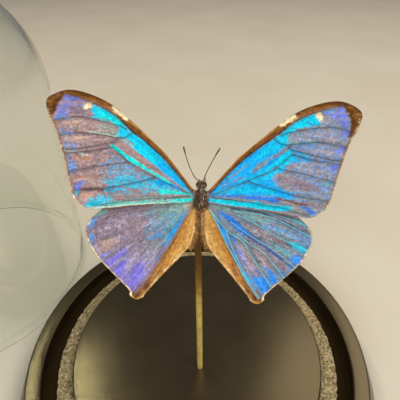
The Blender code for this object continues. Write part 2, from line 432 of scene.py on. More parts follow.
def draw_tubes(
    name: str, routes: Sequence[Sequence[Sequence[float]]], radius: float, resolution: int,
) -> Piece:
    """Draw thin tubes along routes, as one mesh.

    Args:
        name: the piece's name.
        routes: for each tube its points: a place in metres and a share of the radius.
        radius: the tubes' radius in millimetres.
        resolution: how finely the tubes are rounded.
    Returns:
        the new piece.
    """
    curve = bpy.data.curves.new(name, "CURVE")
    curve.dimensions = "3D"
    curve.bevel_depth = radius * MM
    curve.bevel_resolution = resolution
    curve.use_fill_caps = True
    for route in routes:
        spline = curve.splines.new("POLY")
        spline.points.add(len(route) - 1)
        for point, (x, y, z, share) in zip(spline.points, route):
            point.co = (x, y, z, 1.0)
            point.radius = share
    tubes = bpy.data.objects.new(name, curve)
    bpy.context.scene.collection.objects.link(tubes)
    take(tubes)
    bpy.ops.object.convert(target="MESH")
    return bpy.context.active_object


def arc(centre: Point, radius: float, start_deg: float, end_deg: float, spans: int) -> list[Point]:
    """Points of an arc in a turned profile.

    Args:
        centre: radius and height of the arc's centre.
        radius: the arc's own radius.
        start_deg: where it starts, counted from outwards to up.
        end_deg: where it ends.
        spans: how many spans it is cut into.
    Returns:
        radius and height of each point.
    """
    angles = np.radians(np.linspace(start_deg, end_deg, spans + 1))
    return [(centre[0] + radius * math.cos(a), centre[1] + radius * math.sin(a)) for a in angles]


def turn(name: str, profile: Sequence[Point], steps: int, closed: bool = False) -> Piece:
    """Turn a profile about the Z axis, as on a lathe.

    Args:
        name: the piece's name.
        profile: radius and height of each point, in millimetres.
        steps: how many facets go round.
        closed: whether the last point joins the first.
    Returns:
        the turned piece, with its axis at the origin.
    """
    deselect()
    bpy.ops.mesh.primitive_circle_add(vertices=len(profile), radius=1.0)
    piece = started(name)
    mesh = piece.data
    for vertex, (radius, height) in zip(mesh.vertices, profile):
        vertex.co = (radius * MM, 0.0, height * MM)
    last = {0, len(profile) - 1}
    for edge in mesh.edges:
        edge.select = set(edge.vertices) == last
    for vertex in mesh.vertices:
        vertex.select = vertex.index in last
    bpy.context.tool_settings.mesh_select_mode = (False, True, False)
    with editing(piece):
        if not closed:
            bpy.ops.mesh.delete(type="EDGE")
        bpy.ops.mesh.select_all(action="SELECT")
        bpy.ops.mesh.spin(steps=steps, angle=math.tau, center=(0.0, 0.0, 0.0), axis=(0.0, 0.0, 1.0))
        bpy.ops.mesh.select_all(action="SELECT")
        bpy.ops.mesh.remove_doubles(threshold=1e-6)
        bpy.ops.mesh.normals_make_consistent(inside=False)
    return piece


def hair_shape() -> tuple[Array, list[tuple[int, ...]]]:
    """Model one tapered hair, one unit long up Z and one unit in radius.

    Returns:
        its vertices, and the vertex numbers of its faces.
    """
    deselect()
    bpy.ops.mesh.primitive_cone_add(
        vertices=3, radius1=1.0, radius2=0.3, depth=1.0, location=(0.0, 0.0, 0.5))
    hair = started("hair")
    with editing(hair):
        for height in (0.35, 0.7):
            bpy.ops.mesh.select_all(action="SELECT")
            bpy.ops.mesh.bisect(plane_co=(0.0, 0.0, height), plane_no=(0.0, 0.0, 1.0))
    shape = points_of(hair), [tuple(face.vertices) for face in hair.data.polygons]
    bpy.data.objects.remove(hair, do_unlink=True)
    return shape


@dataclass
class Tuft:
    """Many hairs as one piece: where each is rooted, where it points and how it curls."""

    name: str
    roots: Array
    aims: Array
    lengths: Array
    curls: Array
    tints: Array
    radius: float

    def grow(self) -> Piece:
        """Copy the one hair to every root.

        Returns:
            the piece, with a tint on each hair.
        """
        places, faces = hair_shape()
        aims = unit_rows(self.aims)
        helper = np.where(np.abs(aims[:, 2:]) < 0.9, (0.0, 0.0, 1.0), (1.0, 0.0, 0.0))
        across = np.cross(aims, helper)
        across = unit_rows(across)
        over = np.cross(aims, across)
        run = self.lengths[:, None, None] * places[None, :, 2:]
        grown = self.roots[:, None, :] + aims[:, None, :] * run
        grown += across[:, None, :] * places[None, :, :1] * self.radius
        grown += over[:, None, :] * places[None, :, 1:2] * self.radius
        grown += self.curls[:, None, :] * run * places[None, :, 2:]
        count = len(places)
        all_faces = [
            tuple(corner + count * hair for corner in face)
            for hair in range(len(self.roots)) for face in faces]
        mesh = bpy.data.meshes.new(self.name)
        mesh.from_pydata((grown.reshape(-1, 3) * MM).tolist(), [], all_faces)
        piece = bpy.data.objects.new(self.name, mesh)
        bpy.context.scene.collection.objects.link(piece)
        paint_points(piece, "tint", np.repeat(self.tints, count, axis=0))
        shade(piece, 80.0)
        return piece


@dataclass(frozen=True)
class Finish:
    """What a surface is made of; each kind paints its own pattern."""

    name: str
    colour: str
    roughness: float
    metallic: float = 0.0

    def material(self) -> bpy.types.Material:
        """Find the material of this finish, or make it when it is first asked for.

        Returns:
            the material.
        """
        made = bpy.data.materials.get(self.name)
        if made is None:
            made = bpy.data.materials.new(self.name)
            made.use_nodes = True
            tree = made.node_tree
            shader = tree.nodes["Principled BSDF"]
            plug(tree, shader, {
                "Base Color": linear(self.colour), "Roughness": self.roughness, "Metallic": self.metallic})
            plug(tree, shader, self.dress(tree))
        return made

    def dress(self, tree: Tree) -> Sockets:
        """Build the finish's pattern.

        Args:
            tree: the material's node tree.
        Returns:
            what goes into the shader's sockets.
        """
        raise NotImplementedError


@dataclass(frozen=True)
class BlackLacquer(Finish):
    """Brushed and rubbed lacquer on turned wood: deep satin black, with cloudy gloss and dust."""

    cloudy: str = "#241E12"
    cloud: float = 16.0
    speck_spacing: float = 4.5
    speck_radius: float = 0.16
    speck_share: float = 0.45
    dust: str = "#8E8672"
    peel: float = 2.2
    sheen: float = 0.7
    warmth: str = "#FFEBC6"

    def dress(self, tree: Tree) -> Sockets:
        """Cloudy black, dust specks where the surface faces up, and a faint orange peel.

        Args:
            tree: the material's node tree.
        Returns:
            what goes into the shader's sockets.
        """
        place = add_node(tree, "TexCoord").outputs["Object"]
        cloud = add_node(tree, "TexNoise", {
            "Vector": place, "Scale": PER_METRE / self.cloud, "Detail": 4.0, "Roughness": 0.6})
        black = add_node(tree, "ValToRGB", {"Fac": cloud}, (
            (0.3, self.colour), (0.7, self.cloudy)))
        specks = add_node(tree, "TexVoronoi", {
            "Vector": place, "Scale": PER_METRE / self.speck_spacing})
        share = self.speck_radius / self.speck_spacing
        near = add_node(tree, "MapRange", {
            "Value": specks.outputs["Distance"], "From Min": share, "From Max": share * 0.4})
        kept = add_node(tree, "SeparateColor", {"Color": specks.outputs["Color"]})
        chosen = add_node(tree, "Math", {
            0: kept.outputs["Red"], 1: 1.0 - self.speck_share}, operation="GREATER_THAN")
        normal = add_node(tree, "NewGeometry").outputs["Normal"]
        up = add_node(tree, "SeparateXYZ", {"Vector": normal}).outputs["Z"]
        level = add_node(tree, "MapRange", {"Value": up, "From Min": 0.85, "From Max": 0.98})
        dust = add_node(tree, "Math", {0: near, 1: chosen}, operation="MULTIPLY")
        dust = add_node(tree, "Math", {0: dust, 1: level}, operation="MULTIPLY")
        dusty = add_node(tree, "Mix", {
            "Factor": dust, "A": black, "B": linear(self.dust)},
            data_type="RGBA")
        gloss = add_node(tree, "MapRange", {
            "Value": cloud, "From Min": 0.3, "From Max": 0.7,
            "To Min": self.roughness - 0.02, "To Max": self.roughness + 0.02})
        peel = add_node(tree, "TexNoise", {"Vector": place, "Scale": PER_METRE / self.peel})
        bump = add_node(tree, "Bump", {"Height": peel, "Strength": 0.03, "Distance": 0.1 * MM})
        return {
            "Specular IOR Level": self.sheen,
            "Specular Tint": linear(self.warmth),
            "Base Color": dusty.outputs["Result"],
            "Roughness": gloss,
            "Normal": bump,
        }


@dataclass(frozen=True)
class WoolFelt(Finish):
    """Pressed wool felt: matt, mottled with darker and paler fibres."""

    pale: str = "#E6D6AE"
    dark: str = "#4A402E"
    mottle: float = 0.9
    fibre: float = 0.26

    def dress(self, tree: Tree) -> Sockets:
        """Two sizes of mottling and a fibrous bump.

        Args:
            tree: the material's node tree.
        Returns:
            what goes into the shader's sockets.
        """
        place = add_node(tree, "TexCoord").outputs["Object"]
        mottle = add_node(tree, "TexNoise", {
            "Vector": place, "Scale": PER_METRE / self.mottle, "Detail": 3.0})
        fibre = add_node(tree, "TexNoise", {
            "Vector": place, "Scale": PER_METRE / self.fibre, "Detail": 2.0, "Distortion": 1.5})
        both = add_node(tree, "Math", {0: mottle, 1: fibre}, operation="ADD")
        half = add_node(tree, "Math", {0: both, 1: 0.5}, operation="MULTIPLY")
        colour = add_node(tree, "ValToRGB", {"Fac": half}, (
            (0.4, self.dark), (0.52, self.colour), (0.66, self.pale)))
        bump = add_node(tree, "Bump", {"Height": fibre, "Strength": 0.7, "Distance": 0.3 * MM})
        return {"Base Color": colour, "Normal": bump}


@dataclass(frozen=True)
class DrawnBrass(Finish):
    """Drawn brass rod under worn clear varnish: yellow and streaked, with painted shade that darkens it
    higher up.

    The varnish scatters light, so that the rod stays bright where bare metal would mirror the dark base.
    """

    worn: str = "#B98A38"
    tarnish: str = "#6E4A1C"
    bright_to: float = 55.0
    dull_from: float = 85.0
    streak: float = 0.35
    blotch: float = 3.0

    def dress(self, tree: Tree) -> Sockets:
        """Tarnished blotches, painted shade that darkens the rod with height, and fine lines along the
        rod.

        Args:
            tree: the material's node tree.
        Returns:
            what goes into the shader's sockets.
        """
        place = add_node(tree, "TexCoord").outputs["Object"]
        height = add_node(tree, "SeparateXYZ", {"Vector": place}).outputs["Z"]
        # Painted shade and dark reflection: the colour darkens from bright_to up to dull_from, under the
        # specimen.
        rise = add_node(tree, "MapRange", {
            "Value": height, "From Min": self.bright_to * MM, "From Max": self.dull_from * MM})
        blotch = add_node(tree, "TexNoise", {
            "Vector": place, "Scale": PER_METRE / self.blotch, "Detail": 4.0})
        tarnish_and_shade = add_node(tree, "Math", {0: blotch, 1: 0.55, 2: rise}, operation="MULTIPLY_ADD")
        colour = add_node(tree, "ValToRGB", {"Fac": tarnish_and_shade}, (
            (0.25, self.colour), (0.6, self.worn), (1.0, self.tarnish)))
        drawn = add_node(tree, "Mapping", {"Vector": place, "Scale": (1.0, 1.0, 0.03)})
        lines = add_node(tree, "TexNoise", {
            "Vector": drawn, "Scale": PER_METRE / self.streak, "Detail": 2.0})
        dull = add_node(tree, "MapRange", {
            "Value": tarnish_and_shade,
            "To Min": self.roughness - 0.04, "To Max": self.roughness + 0.2})
        bump = add_node(tree, "Bump", {"Height": lines, "Strength": 0.15, "Distance": 0.05 * MM})
        return {
            "Base Color": colour,
            "Roughness": dull,
            "Normal": bump,
        }


@dataclass(frozen=True)
class HideGlue(Finish):
    """Hardened glue: amber, glossy and a little uneven."""

    dark: str = "#7A5B34"
    ripple: float = 0.8

    def dress(self, tree: Tree) -> Sockets:
        """Light and dark amber with a rippled gloss.

        Args:
            tree: the material's node tree.
        Returns:
            what goes into the shader's sockets.
        """
        place = add_node(tree, "TexCoord").outputs["Object"]
        ripple = add_node(tree, "TexNoise", {"Vector": place, "Scale": PER_METRE / self.ripple})
        colour = add_node(tree, "ValToRGB", {"Fac": ripple}, (
            (0.3, self.colour), (0.7, self.dark)))
        bump = add_node(tree, "Bump", {"Height": ripple, "Strength": 0.3, "Distance": 0.1 * MM})
        return {"Base Color": colour, "Normal": bump}


@dataclass(frozen=True)
class WingScales(Finish):
    """Overlapping wing scales: each a little lighter or darker, with a silky gloss.

    Real scales are a tenth of a millimetre wide; they are drawn three times as coarse to show.
    """

    attribute: str = "scale_tone"
    scale: float = 0.32
    drift: float = 1.1
    contrast: float = 0.16
    gloss: float = 0.1

    def dress(self, tree: Tree) -> Sockets:
        """The painted tone, broken up scale by scale.

        Args:
            tree: the material's node tree.
        Returns:
            what goes into the shader's sockets.
        """
        tone = add_node(tree, "Attribute", attribute_name=self.attribute).outputs["Color"]
        place = add_node(tree, "Attribute", attribute_name="wing_place").outputs["Vector"]
        scales = add_node(tree, "TexVoronoi", {"Vector": place, "Scale": 1.0 / self.scale})
        single = add_node(tree, "SeparateColor", {"Color": scales.outputs["Color"]})
        light = add_node(tree, "MapRange", {
            "Value": single.outputs["Red"],
            "To Min": 1.0 - self.contrast, "To Max": 1.0 + self.contrast})
        drift = add_node(tree, "TexNoise", {"Vector": place, "Scale": 1.0 / self.drift, "Detail": 3.0})
        cloud = add_node(tree, "MapRange", {
            "Value": drift, "From Min": 0.3, "From Max": 0.7,
            "To Min": 0.88, "To Max": 1.12})
        both = add_node(tree, "Math", {0: light, 1: cloud}, operation="MULTIPLY")
        lit = add_node(tree, "VectorMath", {"Vector": tone, "Scale": both}, operation="SCALE")
        bump = add_node(tree, "Bump", {
            "Height": scales.outputs["Distance"], "Strength": 0.25, "Distance": 0.06 * MM})
        return {
            "Specular IOR Level": self.gloss,
            "Base Color": lit,
            "Normal": bump,
        }


@dataclass(frozen=True)
class InsectHair(Finish):
    """Fine dry hair: matt, each hair in its own shade."""

    fleck: float = 0.5

    def dress(self, tree: Tree) -> Sockets:
        """The hair's own tint with small flecks.

        Args:
            tree: the material's node tree.
        Returns:
            what goes into the shader's sockets.
        """
        tint = add_node(tree, "Attribute", attribute_name="tint").outputs["Color"]
        place = add_node(tree, "TexCoord").outputs["Object"]
        fleck = add_node(tree, "TexNoise", {"Vector": place, "Scale": PER_METRE / self.fleck})
        light = add_node(tree, "MapRange", {
            "Value": fleck, "From Min": 0.3, "From Max": 0.7, "To Min": 0.8, "To Max": 1.2})
        lit = add_node(tree, "VectorMath", {"Vector": tint, "Scale": light}, operation="SCALE")
        return {"Base Color": lit}


@dataclass(frozen=True)
class ChitinSkin(Finish):
    """Dry insect skin: brown and cracked with paler scales, low gloss."""

    pale: str = "#A59B88"
    fleck: float = 0.7
    facet: float = 0.3

    def dress(self, tree: Tree) -> Sockets:
        """Pale flecks on the dark skin over a finely pebbled surface.

        Args:
            tree: the material's node tree.
        Returns:
            what goes into the shader's sockets.
        """
        place = add_node(tree, "TexCoord").outputs["Object"]
        fleck = add_node(tree, "TexNoise", {
            "Vector": place, "Scale": PER_METRE / self.fleck, "Detail": 3.0})
        colour = add_node(tree, "ValToRGB", {"Fac": fleck}, (
            (0.45, self.colour), (0.62, self.pale)))
        pebble = add_node(tree, "TexVoronoi", {"Vector": place, "Scale": PER_METRE / self.facet})
        bump = add_node(tree, "Bump", {
            "Height": pebble.outputs["Distance"], "Strength": 0.5, "Distance": 0.1 * MM})
        return {"Base Color": colour, "Normal": bump}


@dataclass(frozen=True)
class BlownGlass(Finish):
    """Clear blown soda glass: smooth fire-polished skin with a faint bloom of dust and wiping."""

    clear: str = "#F2F5F2"
    bloom: float = 14.0
    ior: float = 1.5

    def dress(self, tree: Tree) -> Sockets:
        """Glass that lets the lamps through, a little duller where it was wiped.

        Args:
            tree: the material's node tree.
        Returns:
            what goes into the shader's sockets.
        """
        place = add_node(tree, "TexCoord").outputs["Object"]
        bloom = add_node(tree, "TexNoise", {
            "Vector": place, "Scale": PER_METRE / self.bloom, "Detail": 4.0, "Distortion": 0.6})
        dull = add_node(tree, "MapRange", {
            "Value": bloom, "From Min": 0.45, "From Max": 0.75,
            "To Min": self.roughness, "To Max": self.roughness + 0.03})
        # Lamp light, soft light and mirror images go straight through, so that the glass darkens nothing.
        # A mirrored ray that has already passed through glass bends, which keeps the dome's edges.
        through = add_node(tree, "BsdfTransparent", {"Color": linear(self.clear)})
        ray = add_node(tree, "LightPath")
        soft = add_node(tree, "Math", {
            0: ray.outputs["Is Shadow Ray"], 1: ray.outputs["Is Diffuse Ray"]}, operation="MAXIMUM")
        outside = add_node(tree, "Math", {
            0: ray.outputs["Transmission Depth"], 1: 0.5}, operation="LESS_THAN")
        mirrored = add_node(tree, "Math", {
            0: ray.outputs["Is Glossy Ray"], 1: outside}, operation="MULTIPLY")
        unbent = add_node(tree, "Math", {0: soft, 1: mirrored}, operation="MAXIMUM")
        bent = tree.nodes["Principled BSDF"]
        mixed = add_node(tree, "MixShader", {0: unbent, 1: bent.outputs["BSDF"], 2: through})
        plug(tree, tree.nodes["Material Output"], {"Surface": mixed})
        return {"Transmission Weight": 1.0, "IOR": self.ior, "Roughness": dull}


@dataclass(frozen=True)
class PaintedBoard(Finish):
    """Matt painted board under the object: pale and barely mottled."""

    cloudy: str = "#D2CCBF"
    cloud: float = 90.0

    def dress(self, tree: Tree) -> Sockets:
        """Wide, faint clouds of the same paint.

        Args:
            tree: the material's node tree.
        Returns:
            what goes into the shader's sockets.
        """
        place = add_node(tree, "TexCoord").outputs["Object"]
        cloud = add_node(tree, "TexNoise", {
            "Vector": place, "Scale": PER_METRE / self.cloud, "Detail": 4.0})
        colour = add_node(tree, "ValToRGB", {"Fac": cloud}, (
            (0.3, self.colour), (0.7, self.cloudy)))
        return {"Base Color": colour}


LACQUER = BlackLacquer("satin_black_lacquer", "#1C170D", 0.25)
GROOVE_PAINT = BlackLacquer("matt_black_paint", "#1E160A", 0.7, cloudy="#261D0D", sheen=0.06)
SEAT_FELT = WoolFelt("grey_wool_felt", "#97865F", 0.95)
FOOT_FELT = WoolFelt("black_wool_felt", "#211F1C", 0.95, pale="#3B3834", dark="#100F0E")
BRASS = DrawnBrass("drawn_brass", "#FADE7E", 0.38, 0.45)
GLUE = HideGlue("amber_glue", "#B48B4E", 0.25)
UPPER_SCALES = WingScales("upper_wing_scales", "#22A8E0", 0.5)
UNDER_SCALES = WingScales("under_wing_scales", "#7A5A3C", 0.6, attribute="under_tone")
HAIR = InsectHair("insect_hair", "#6B5A44", 0.75)
SKIN = ChitinSkin("dry_chitin", "#301D0E", 0.6, pale="#7A6248")
EYE = ChitinSkin("compound_eye", "#2A1E14", 0.25, pale="#5A4630", facet=0.12)
PALP = ChitinSkin("palp_scales", "#C8B48C", 0.7, pale="#F0E2BE", fleck=0.4)
FEELER = ChitinSkin("antenna_skin", "#241A12", 0.5, pale="#4A3828", fleck=0.5, facet=0.25)
GLASS = BlownGlass("blown_clear_glass", "#F7FAF8", 0.0)
BOARD = PaintedBoard("pale_painted_board", "#CBC4B6", 0.7)


def settle(
    piece: Piece,
    finish: Finish,
    body: str,
    nodes: Sequence[str] = (),
) -> Piece:
    """Give a piece its finish, its body and the nodes that it stands for.

    Args:
        piece: the finished mesh.
        finish: what it is made of.
        body: the body that it rides on.
        nodes: the CAD nodes that it replaces.
    Returns:
        the same piece.
    """
    if not piece.data.materials:
        piece.data.materials.append(finish.material())
    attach(piece, body)
    if nodes:
        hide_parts(*nodes)
    LOG.info("%s: %d faces on %s", piece.name, len(piece.data.polygons), body)
    return piece


@dataclass
class Lamp:
    """A soft square studio lamp."""

    name: str
    place: tuple[float, float, float]
    target: tuple[float, float, float]
    size: float
    power: float
    colour: str

    def hang(self) -> None:
        """Put the lamp in the scene, facing its target."""
        data = bpy.data.lights.new(self.name, "AREA")
        data.size = self.size * MM
        data.energy = self.power
        data.color = linear(self.colour)[:3]
        lamp = bpy.data.objects.new(self.name, data)
        lamp.location = Vector(self.place) * MM
        facing = (Vector(self.target) - Vector(self.place)).to_track_quat("-Z", "Y")
        lamp.rotation_euler = facing.to_euler()
        bpy.context.scene.collection.objects.link(lamp)


@dataclass
class Stage:
    """Floor, lamps and the camera where the photograph was taken."""

    floor_width: float = 5000.0
    lens: float = 35.467
    shift_y: float = -0.128
    camera_place: tuple[float, float, float] = (2.25, -105.13, 182.57)
    tilt_deg: float = 58.594
    roll_deg: float = -0.588
    world_colour: str = "#E4E0D8"
    world_strength: float = 0.3

    def build(self) -> None:
        """Make the camera, the floor, the lamps and the plain surroundings."""
        self.set_camera()
        self.lay_floor()
        self.hang_lamps()
        world = bpy.data.worlds.new("plain_studio")
        world.use_nodes = True
        sky = world.node_tree.nodes["Background"]
        sky.inputs["Color"].default_value = linear(self.world_colour)
        sky.inputs["Strength"].default_value = self.world_strength
        bpy.context.scene.world = world
        bpy.context.scene.view_settings.view_transform = "Standard"

    def set_camera(self) -> None:
        """Stand the camera where the picture's own perspective puts it."""
        data = bpy.data.cameras.new("photo_camera")
        data.lens = self.lens
        data.shift_y = self.shift_y
        data.clip_start = 0.01
        camera = bpy.data.objects.new("photo_camera", data)
        tilt = Matrix.Rotation(math.radians(self.tilt_deg), 4, "X")
        roll = Matrix.Rotation(math.radians(self.roll_deg), 4, "Z")
        camera.matrix_world = Matrix.Translation(Vector(self.camera_place) * MM) @ tilt @ roll
        bpy.context.scene.collection.objects.link(camera)
        bpy.context.scene.camera = camera

    def lay_floor(self) -> None:
        """A wide flat board at the height the object stands on."""
        deselect()
        bpy.ops.mesh.primitive_plane_add(size=self.floor_width * MM)
        floor = started("floor")
        with editing(floor):
            bpy.ops.mesh.subdivide(number_cuts=3)
        floor.data.materials.append(BOARD.material())

    def hang_lamps(self) -> None:
        """Key from the right, a fill near the viewer and two lamps at the back that show in the gloss."""
        middle = (0.0, 0.0, 70.0)
        Lamp("key_right", (620.0, -420.0, 900.0), middle, 420.0, 6.5, "#FFF8EC").hang()
        Lamp("fill_front", (-420.0, -900.0, 700.0), middle, 700.0, 6.5, "#FAFAFF").hang()
        Lamp("gloss_left", (-450.0, 435.0, 900.0), middle, 150.0, 2.4, "#FFF0D2").hang()
        Lamp("gloss_right", (450.0, 410.0, 900.0), middle, 440.0, 2.5, "#FFF0D2").hang()


@dataclass
class Base:
    """Turned black base with its groove, the felt seat in it and the felt under it."""

    height: float = 15.0
    foot: float = 1.3
    foot_radius: float = 77.5
    foot_lip: float = 1.5
    foot_chamfer: float = 1.0
    rim_radius: float = 72.5
    rim_round: float = 0.8
    groove_outer: float = 66.7
    groove_floor: float = 9.1
    disc_radius: float = 54.0
    edge_round: float = 0.6
    floor_round: float = 0.5
    hole_radius: float = 1.45
    hole_floor: float = 5.0
    hole_place: Point = (1.3, -9.5)
    felt_inner: float = 54.3
    felt_outer: float = 61.0
    felt_low: float = 9.4
    felt_high: float = 10.4
    felt_round: float = 0.3
    felt_nap: float = 0.14
    felt_fray: float = 0.012
    fibre_tones: tuple[str, ...] = ("#2B261E", "#6E6553", "#C8BCA2")
    fibre_radius: float = 0.05
    fibres: int = 620
    steps: int = 224
    seat_steps: int = 360
    foot_round: float = 0.5
    groove_reach: float = 0.1

    def build(self) -> None:
        """Make the base's pieces."""
        self.turn_plinth()
        self.press_seat()
        self.loosen_fibres()
        pad = bpy.data.objects["underside_felt"]
        pad.data.materials.clear()
        pad.data.materials.append(FOOT_FELT.material())
        LOG.info("underside_felt: CAD node dressed in felt")

    def profile(self) -> list[Point]:
        """Half the base's section, from the top centre outwards and down to the underside.

        Returns:
            radius and height of each point.
        """
        top, edge, corner = self.height, self.edge_round, self.floor_round
        lip = self.foot + self.foot_chamfer + self.foot_lip
        flare = math.degrees(math.atan2(self.foot_radius - self.rim_radius, top - lip))
        floor = self.groove_floor
        return [
            (0.0, top),
            (self.disc_radius * 0.5, top),
            *arc((self.disc_radius - edge, top - edge), edge, 90.0, 0.0, 5),
            *arc((self.disc_radius + corner, floor + corner), corner, 180.0, 270.0, 4),
            *arc((self.groove_outer - corner, floor + corner), corner, 270.0, 360.0, 4),
            *arc((self.groove_outer + edge, top - edge), edge, 180.0, 90.0, 5),
            *arc((self.rim_radius, top - self.rim_round), self.rim_round, 90.0, flare, 5),
            *arc((self.foot_radius - self.foot_round, lip - self.foot_round),
                 self.foot_round, flare, 0.0, 3),
            *arc((self.foot_radius - self.foot_chamfer, self.foot + self.foot_chamfer),
                 self.foot_chamfer, 0.0, -90.0, 4),
            (0.0, self.foot),
        ]

    def turn_plinth(self) -> None:
        """Turn the base and drill the hole for the rod."""
        plinth = turn("turned_base", self.profile(), self.steps)
        deselect()
        depth = (self.height - self.hole_floor) * 2
        bpy.ops.mesh.primitive_cylinder_add(
            vertices=64, radius=self.hole_radius * MM, depth=depth * MM,
            location=(self.hole_place[0] * MM, self.hole_place[1] * MM,
                      (self.hole_floor + depth / 2) * MM))
        drill = started("drill")
        apply_modifier(plinth, "BOOLEAN", operation="DIFFERENCE", solver="EXACT", object=drill)
        bpy.data.objects.remove(drill, do_unlink=True)
        plinth.data.materials.append(LACQUER.material())
        plinth.data.materials.append(GROOVE_PAINT.material())
        inner, outer = self.disc_radius - self.groove_reach, self.groove_outer + self.groove_reach
        for face in plinth.data.polygons:
            reach = math.hypot(face.center.x, face.center.y) / MM
            sunk = face.center.z / MM < self.height - self.edge_round
            face.material_index = 1 if inner < reach < outer and sunk else 0
        shade(plinth, 30.0)
        settle(plinth, LACQUER, "base", ["base_plinth"])

    def press_seat(self) -> None:
        """The felt ring in the groove, with a worn, uneven top."""
        bend = self.felt_round
        flat = np.linspace(self.felt_outer - 1.0, self.felt_inner + 1.0, 10)
        profile = [
            *arc((self.felt_outer - bend, self.felt_high - bend), bend, 0.0, 90.0, 3),
            *[(radius, self.felt_high) for radius in flat],
            *arc((self.felt_inner + bend, self.felt_high - bend), bend, 90.0, 180.0, 3),
            (self.felt_inner, self.felt_low),
            (self.felt_outer, self.felt_low),
        ]
        ring = turn("felt_seat", profile, self.seat_steps, closed=True)
        places = points_of(ring)
        x, y = places[:, 0] / MM, places[:, 1] / MM
        top = smooth_step((places[:, 2] / MM - self.felt_low) / (self.felt_high - self.felt_low))
        shifted = x + FELT_SHIFT, y + FELT_SHIFT
        wave = lattice_noise(*shifted, 1.4, 11) + lattice_noise(*shifted, 5.0, 12) - 1.0
        places[:, 2] += wave * self.felt_nap * top * MM
        edge = lattice_noise(*shifted, 0.9, 13) - 0.5
        outer = np.hypot(x, y) > self.felt_outer - 0.5
        places[:, :2] *= (1.0 + np.where(outer, edge * self.felt_fray, 0.0))[:, None]
        move_points(ring, places)
        shade(ring, 70.0)
        settle(ring, SEAT_FELT, "base", ["felt_seat_ring"])

    def loosen_fibres(self) -> None:
        """Loose wool fibres that stand off the felt."""
        rng = np.random.default_rng(21)
        angle = rng.uniform(0.0, math.tau, self.fibres)
        radius = rng.uniform(self.felt_inner + 0.4, self.felt_outer - 0.4, self.fibres)
        roots = np.stack([radius * np.cos(angle), radius * np.sin(angle),
                          np.full(self.fibres, self.felt_high - 0.05)], axis=1)
        aims = rng.normal(size=(self.fibres, 3)) * (1.0, 1.0, 0.25)
        aims[:, 2] = np.abs(aims[:, 2]) + 0.12
        shades = np.array([linear(c)[:3] for c in self.fibre_tones])
        tuft = Tuft("felt_fibres", roots, aims, rng.uniform(0.5, 1.3, self.fibres),
                    rng.normal(size=(self.fibres, 3)) * (0.3, 0.3, 0.06),
                    shades[rng.integers(0, 3, self.fibres)], self.fibre_radius)
        settle(tuft.grow(), HAIR, "base")


@dataclass
class Rod:
    """Brass rod that stands in the base and carries the specimen, with the glue on its end."""

    radius: float = 1.15
    end_round: float = 0.2
    glue_gap: float = 0.02
    glue_lumps: float = 0.12

    def build(self) -> None:
        """Turn the rod and the glue in their CAD places."""
        low, high = (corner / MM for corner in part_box("brass_rod"))
        centre = (low + high) / 2
        bend = self.end_round
        profile = [
            (0.0, high.z),
            *arc((self.radius - bend, high.z - bend), bend, 90.0, 0.0, 4),
            *[(self.radius, z) for z in np.linspace(high.z - 2.0, low.z + 2.0, 12)],
            *arc((self.radius - bend, low.z + bend), bend, 0.0, -90.0, 4),
            (0.0, low.z),
        ]
        rod = turn("brass_stem", profile, 64)
        move_points(rod, points_of(rod) + np.array((centre.x, centre.y, 0.0)) * MM)
        shade(rod, 40.0)
        settle(rod, BRASS, "specimen", ["brass_rod"])
        self.run_glue(centre)

    def run_glue(self, centre: Vector) -> None:
        """A lumpy bead of glue round the rod's end.

        Args:
            centre: the rod's middle, whose axis the bead follows.
        """
        low, high = (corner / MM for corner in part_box("glue_collar"))
        inner = self.radius + self.glue_gap
        outer = (high.x - low.x) / 2
        middle, half = (low.z + high.z) / 2, (high.z - low.z) / 2
        swell = [(inner + (outer - inner) * math.cos(a), middle + half * math.sin(a))
                 for a in np.linspace(-math.pi / 2, math.pi / 2, 13)]
        bead = turn("glue_bead", swell, 48, closed=True)
        places = points_of(bead) / MM
        angle = np.arctan2(places[:, 1], places[:, 0])
        across = np.cos(angle) * 3 + GLUE_SHIFT
        along = np.sin(angle) * 3 + places[:, 2] * 1.5 + GLUE_SHIFT
        lump = lattice_noise(across, along, 1.0, 31) - 0.5
        reach = np.hypot(places[:, 0], places[:, 1])
        free = smooth_step((reach - inner) / (outer - inner))
        places[:, :2] *= (1.0 + lump * free * self.glue_lumps * 2)[:, None]
        move_points(bead, (places + np.array((centre.x, centre.y, 0.0))) * MM)
        shade(bead, 60.0)
        settle(bead, GLUE, "specimen", ["glue_collar"])


@dataclass(frozen=True)
class ScaleZone:
    """A field of scales of one tone; its edge is frayed along the run of the scales.

    A density under one thins the tone out to single scales.
    """

    tone: Tone
    route: Route
    soft: float = 0.4
    grain: float = 0.3
    strength: float = 1.0
    density: float = field(default=1.0, kw_only=True)

    def edge(self, x: Array, y: Array) -> Array:
        """Distance outside the zone's edge, negative inside."""
        raise NotImplementedError

    def cover(self, x: Array, y: Array, fray: Array, speck: Array) -> Array:
        """How much of the zone's tone each place takes.

        Args:
            x: millimetres outwards from the wing's root.
            y: millimetres towards the head.
            fray: streaky noise about zero that tears the edge.
            speck: noise from 0 to 1 that breaks the tone up scale by scale.
        Returns:
            shares from 0 to 1.
        """
        edge = self.edge(x, y) + fray * self.soft * 2.0
        whole = smooth_step(0.5 - edge / (2.0 * self.soft)) * self.density
        broken = smooth_step((whole - speck) / 0.3 + 0.5) * smooth_step(whole * 6.0)
        return (whole * (1.0 - self.grain) + broken * self.grain) * self.strength


@dataclass(frozen=True)
class Band(ScaleZone):
    """A zone along a line, with its half width at the start and at the end."""

    half: Point = (0.3, 0.3)

    def edge(self, x: Array, y: Array) -> Array:
        """Distance outside the band's edge, negative inside."""
        distance, along = route_distance(x, y, smooth_line(self.route, 4))
        return distance - self.half[0] - (self.half[1] - self.half[0]) * along


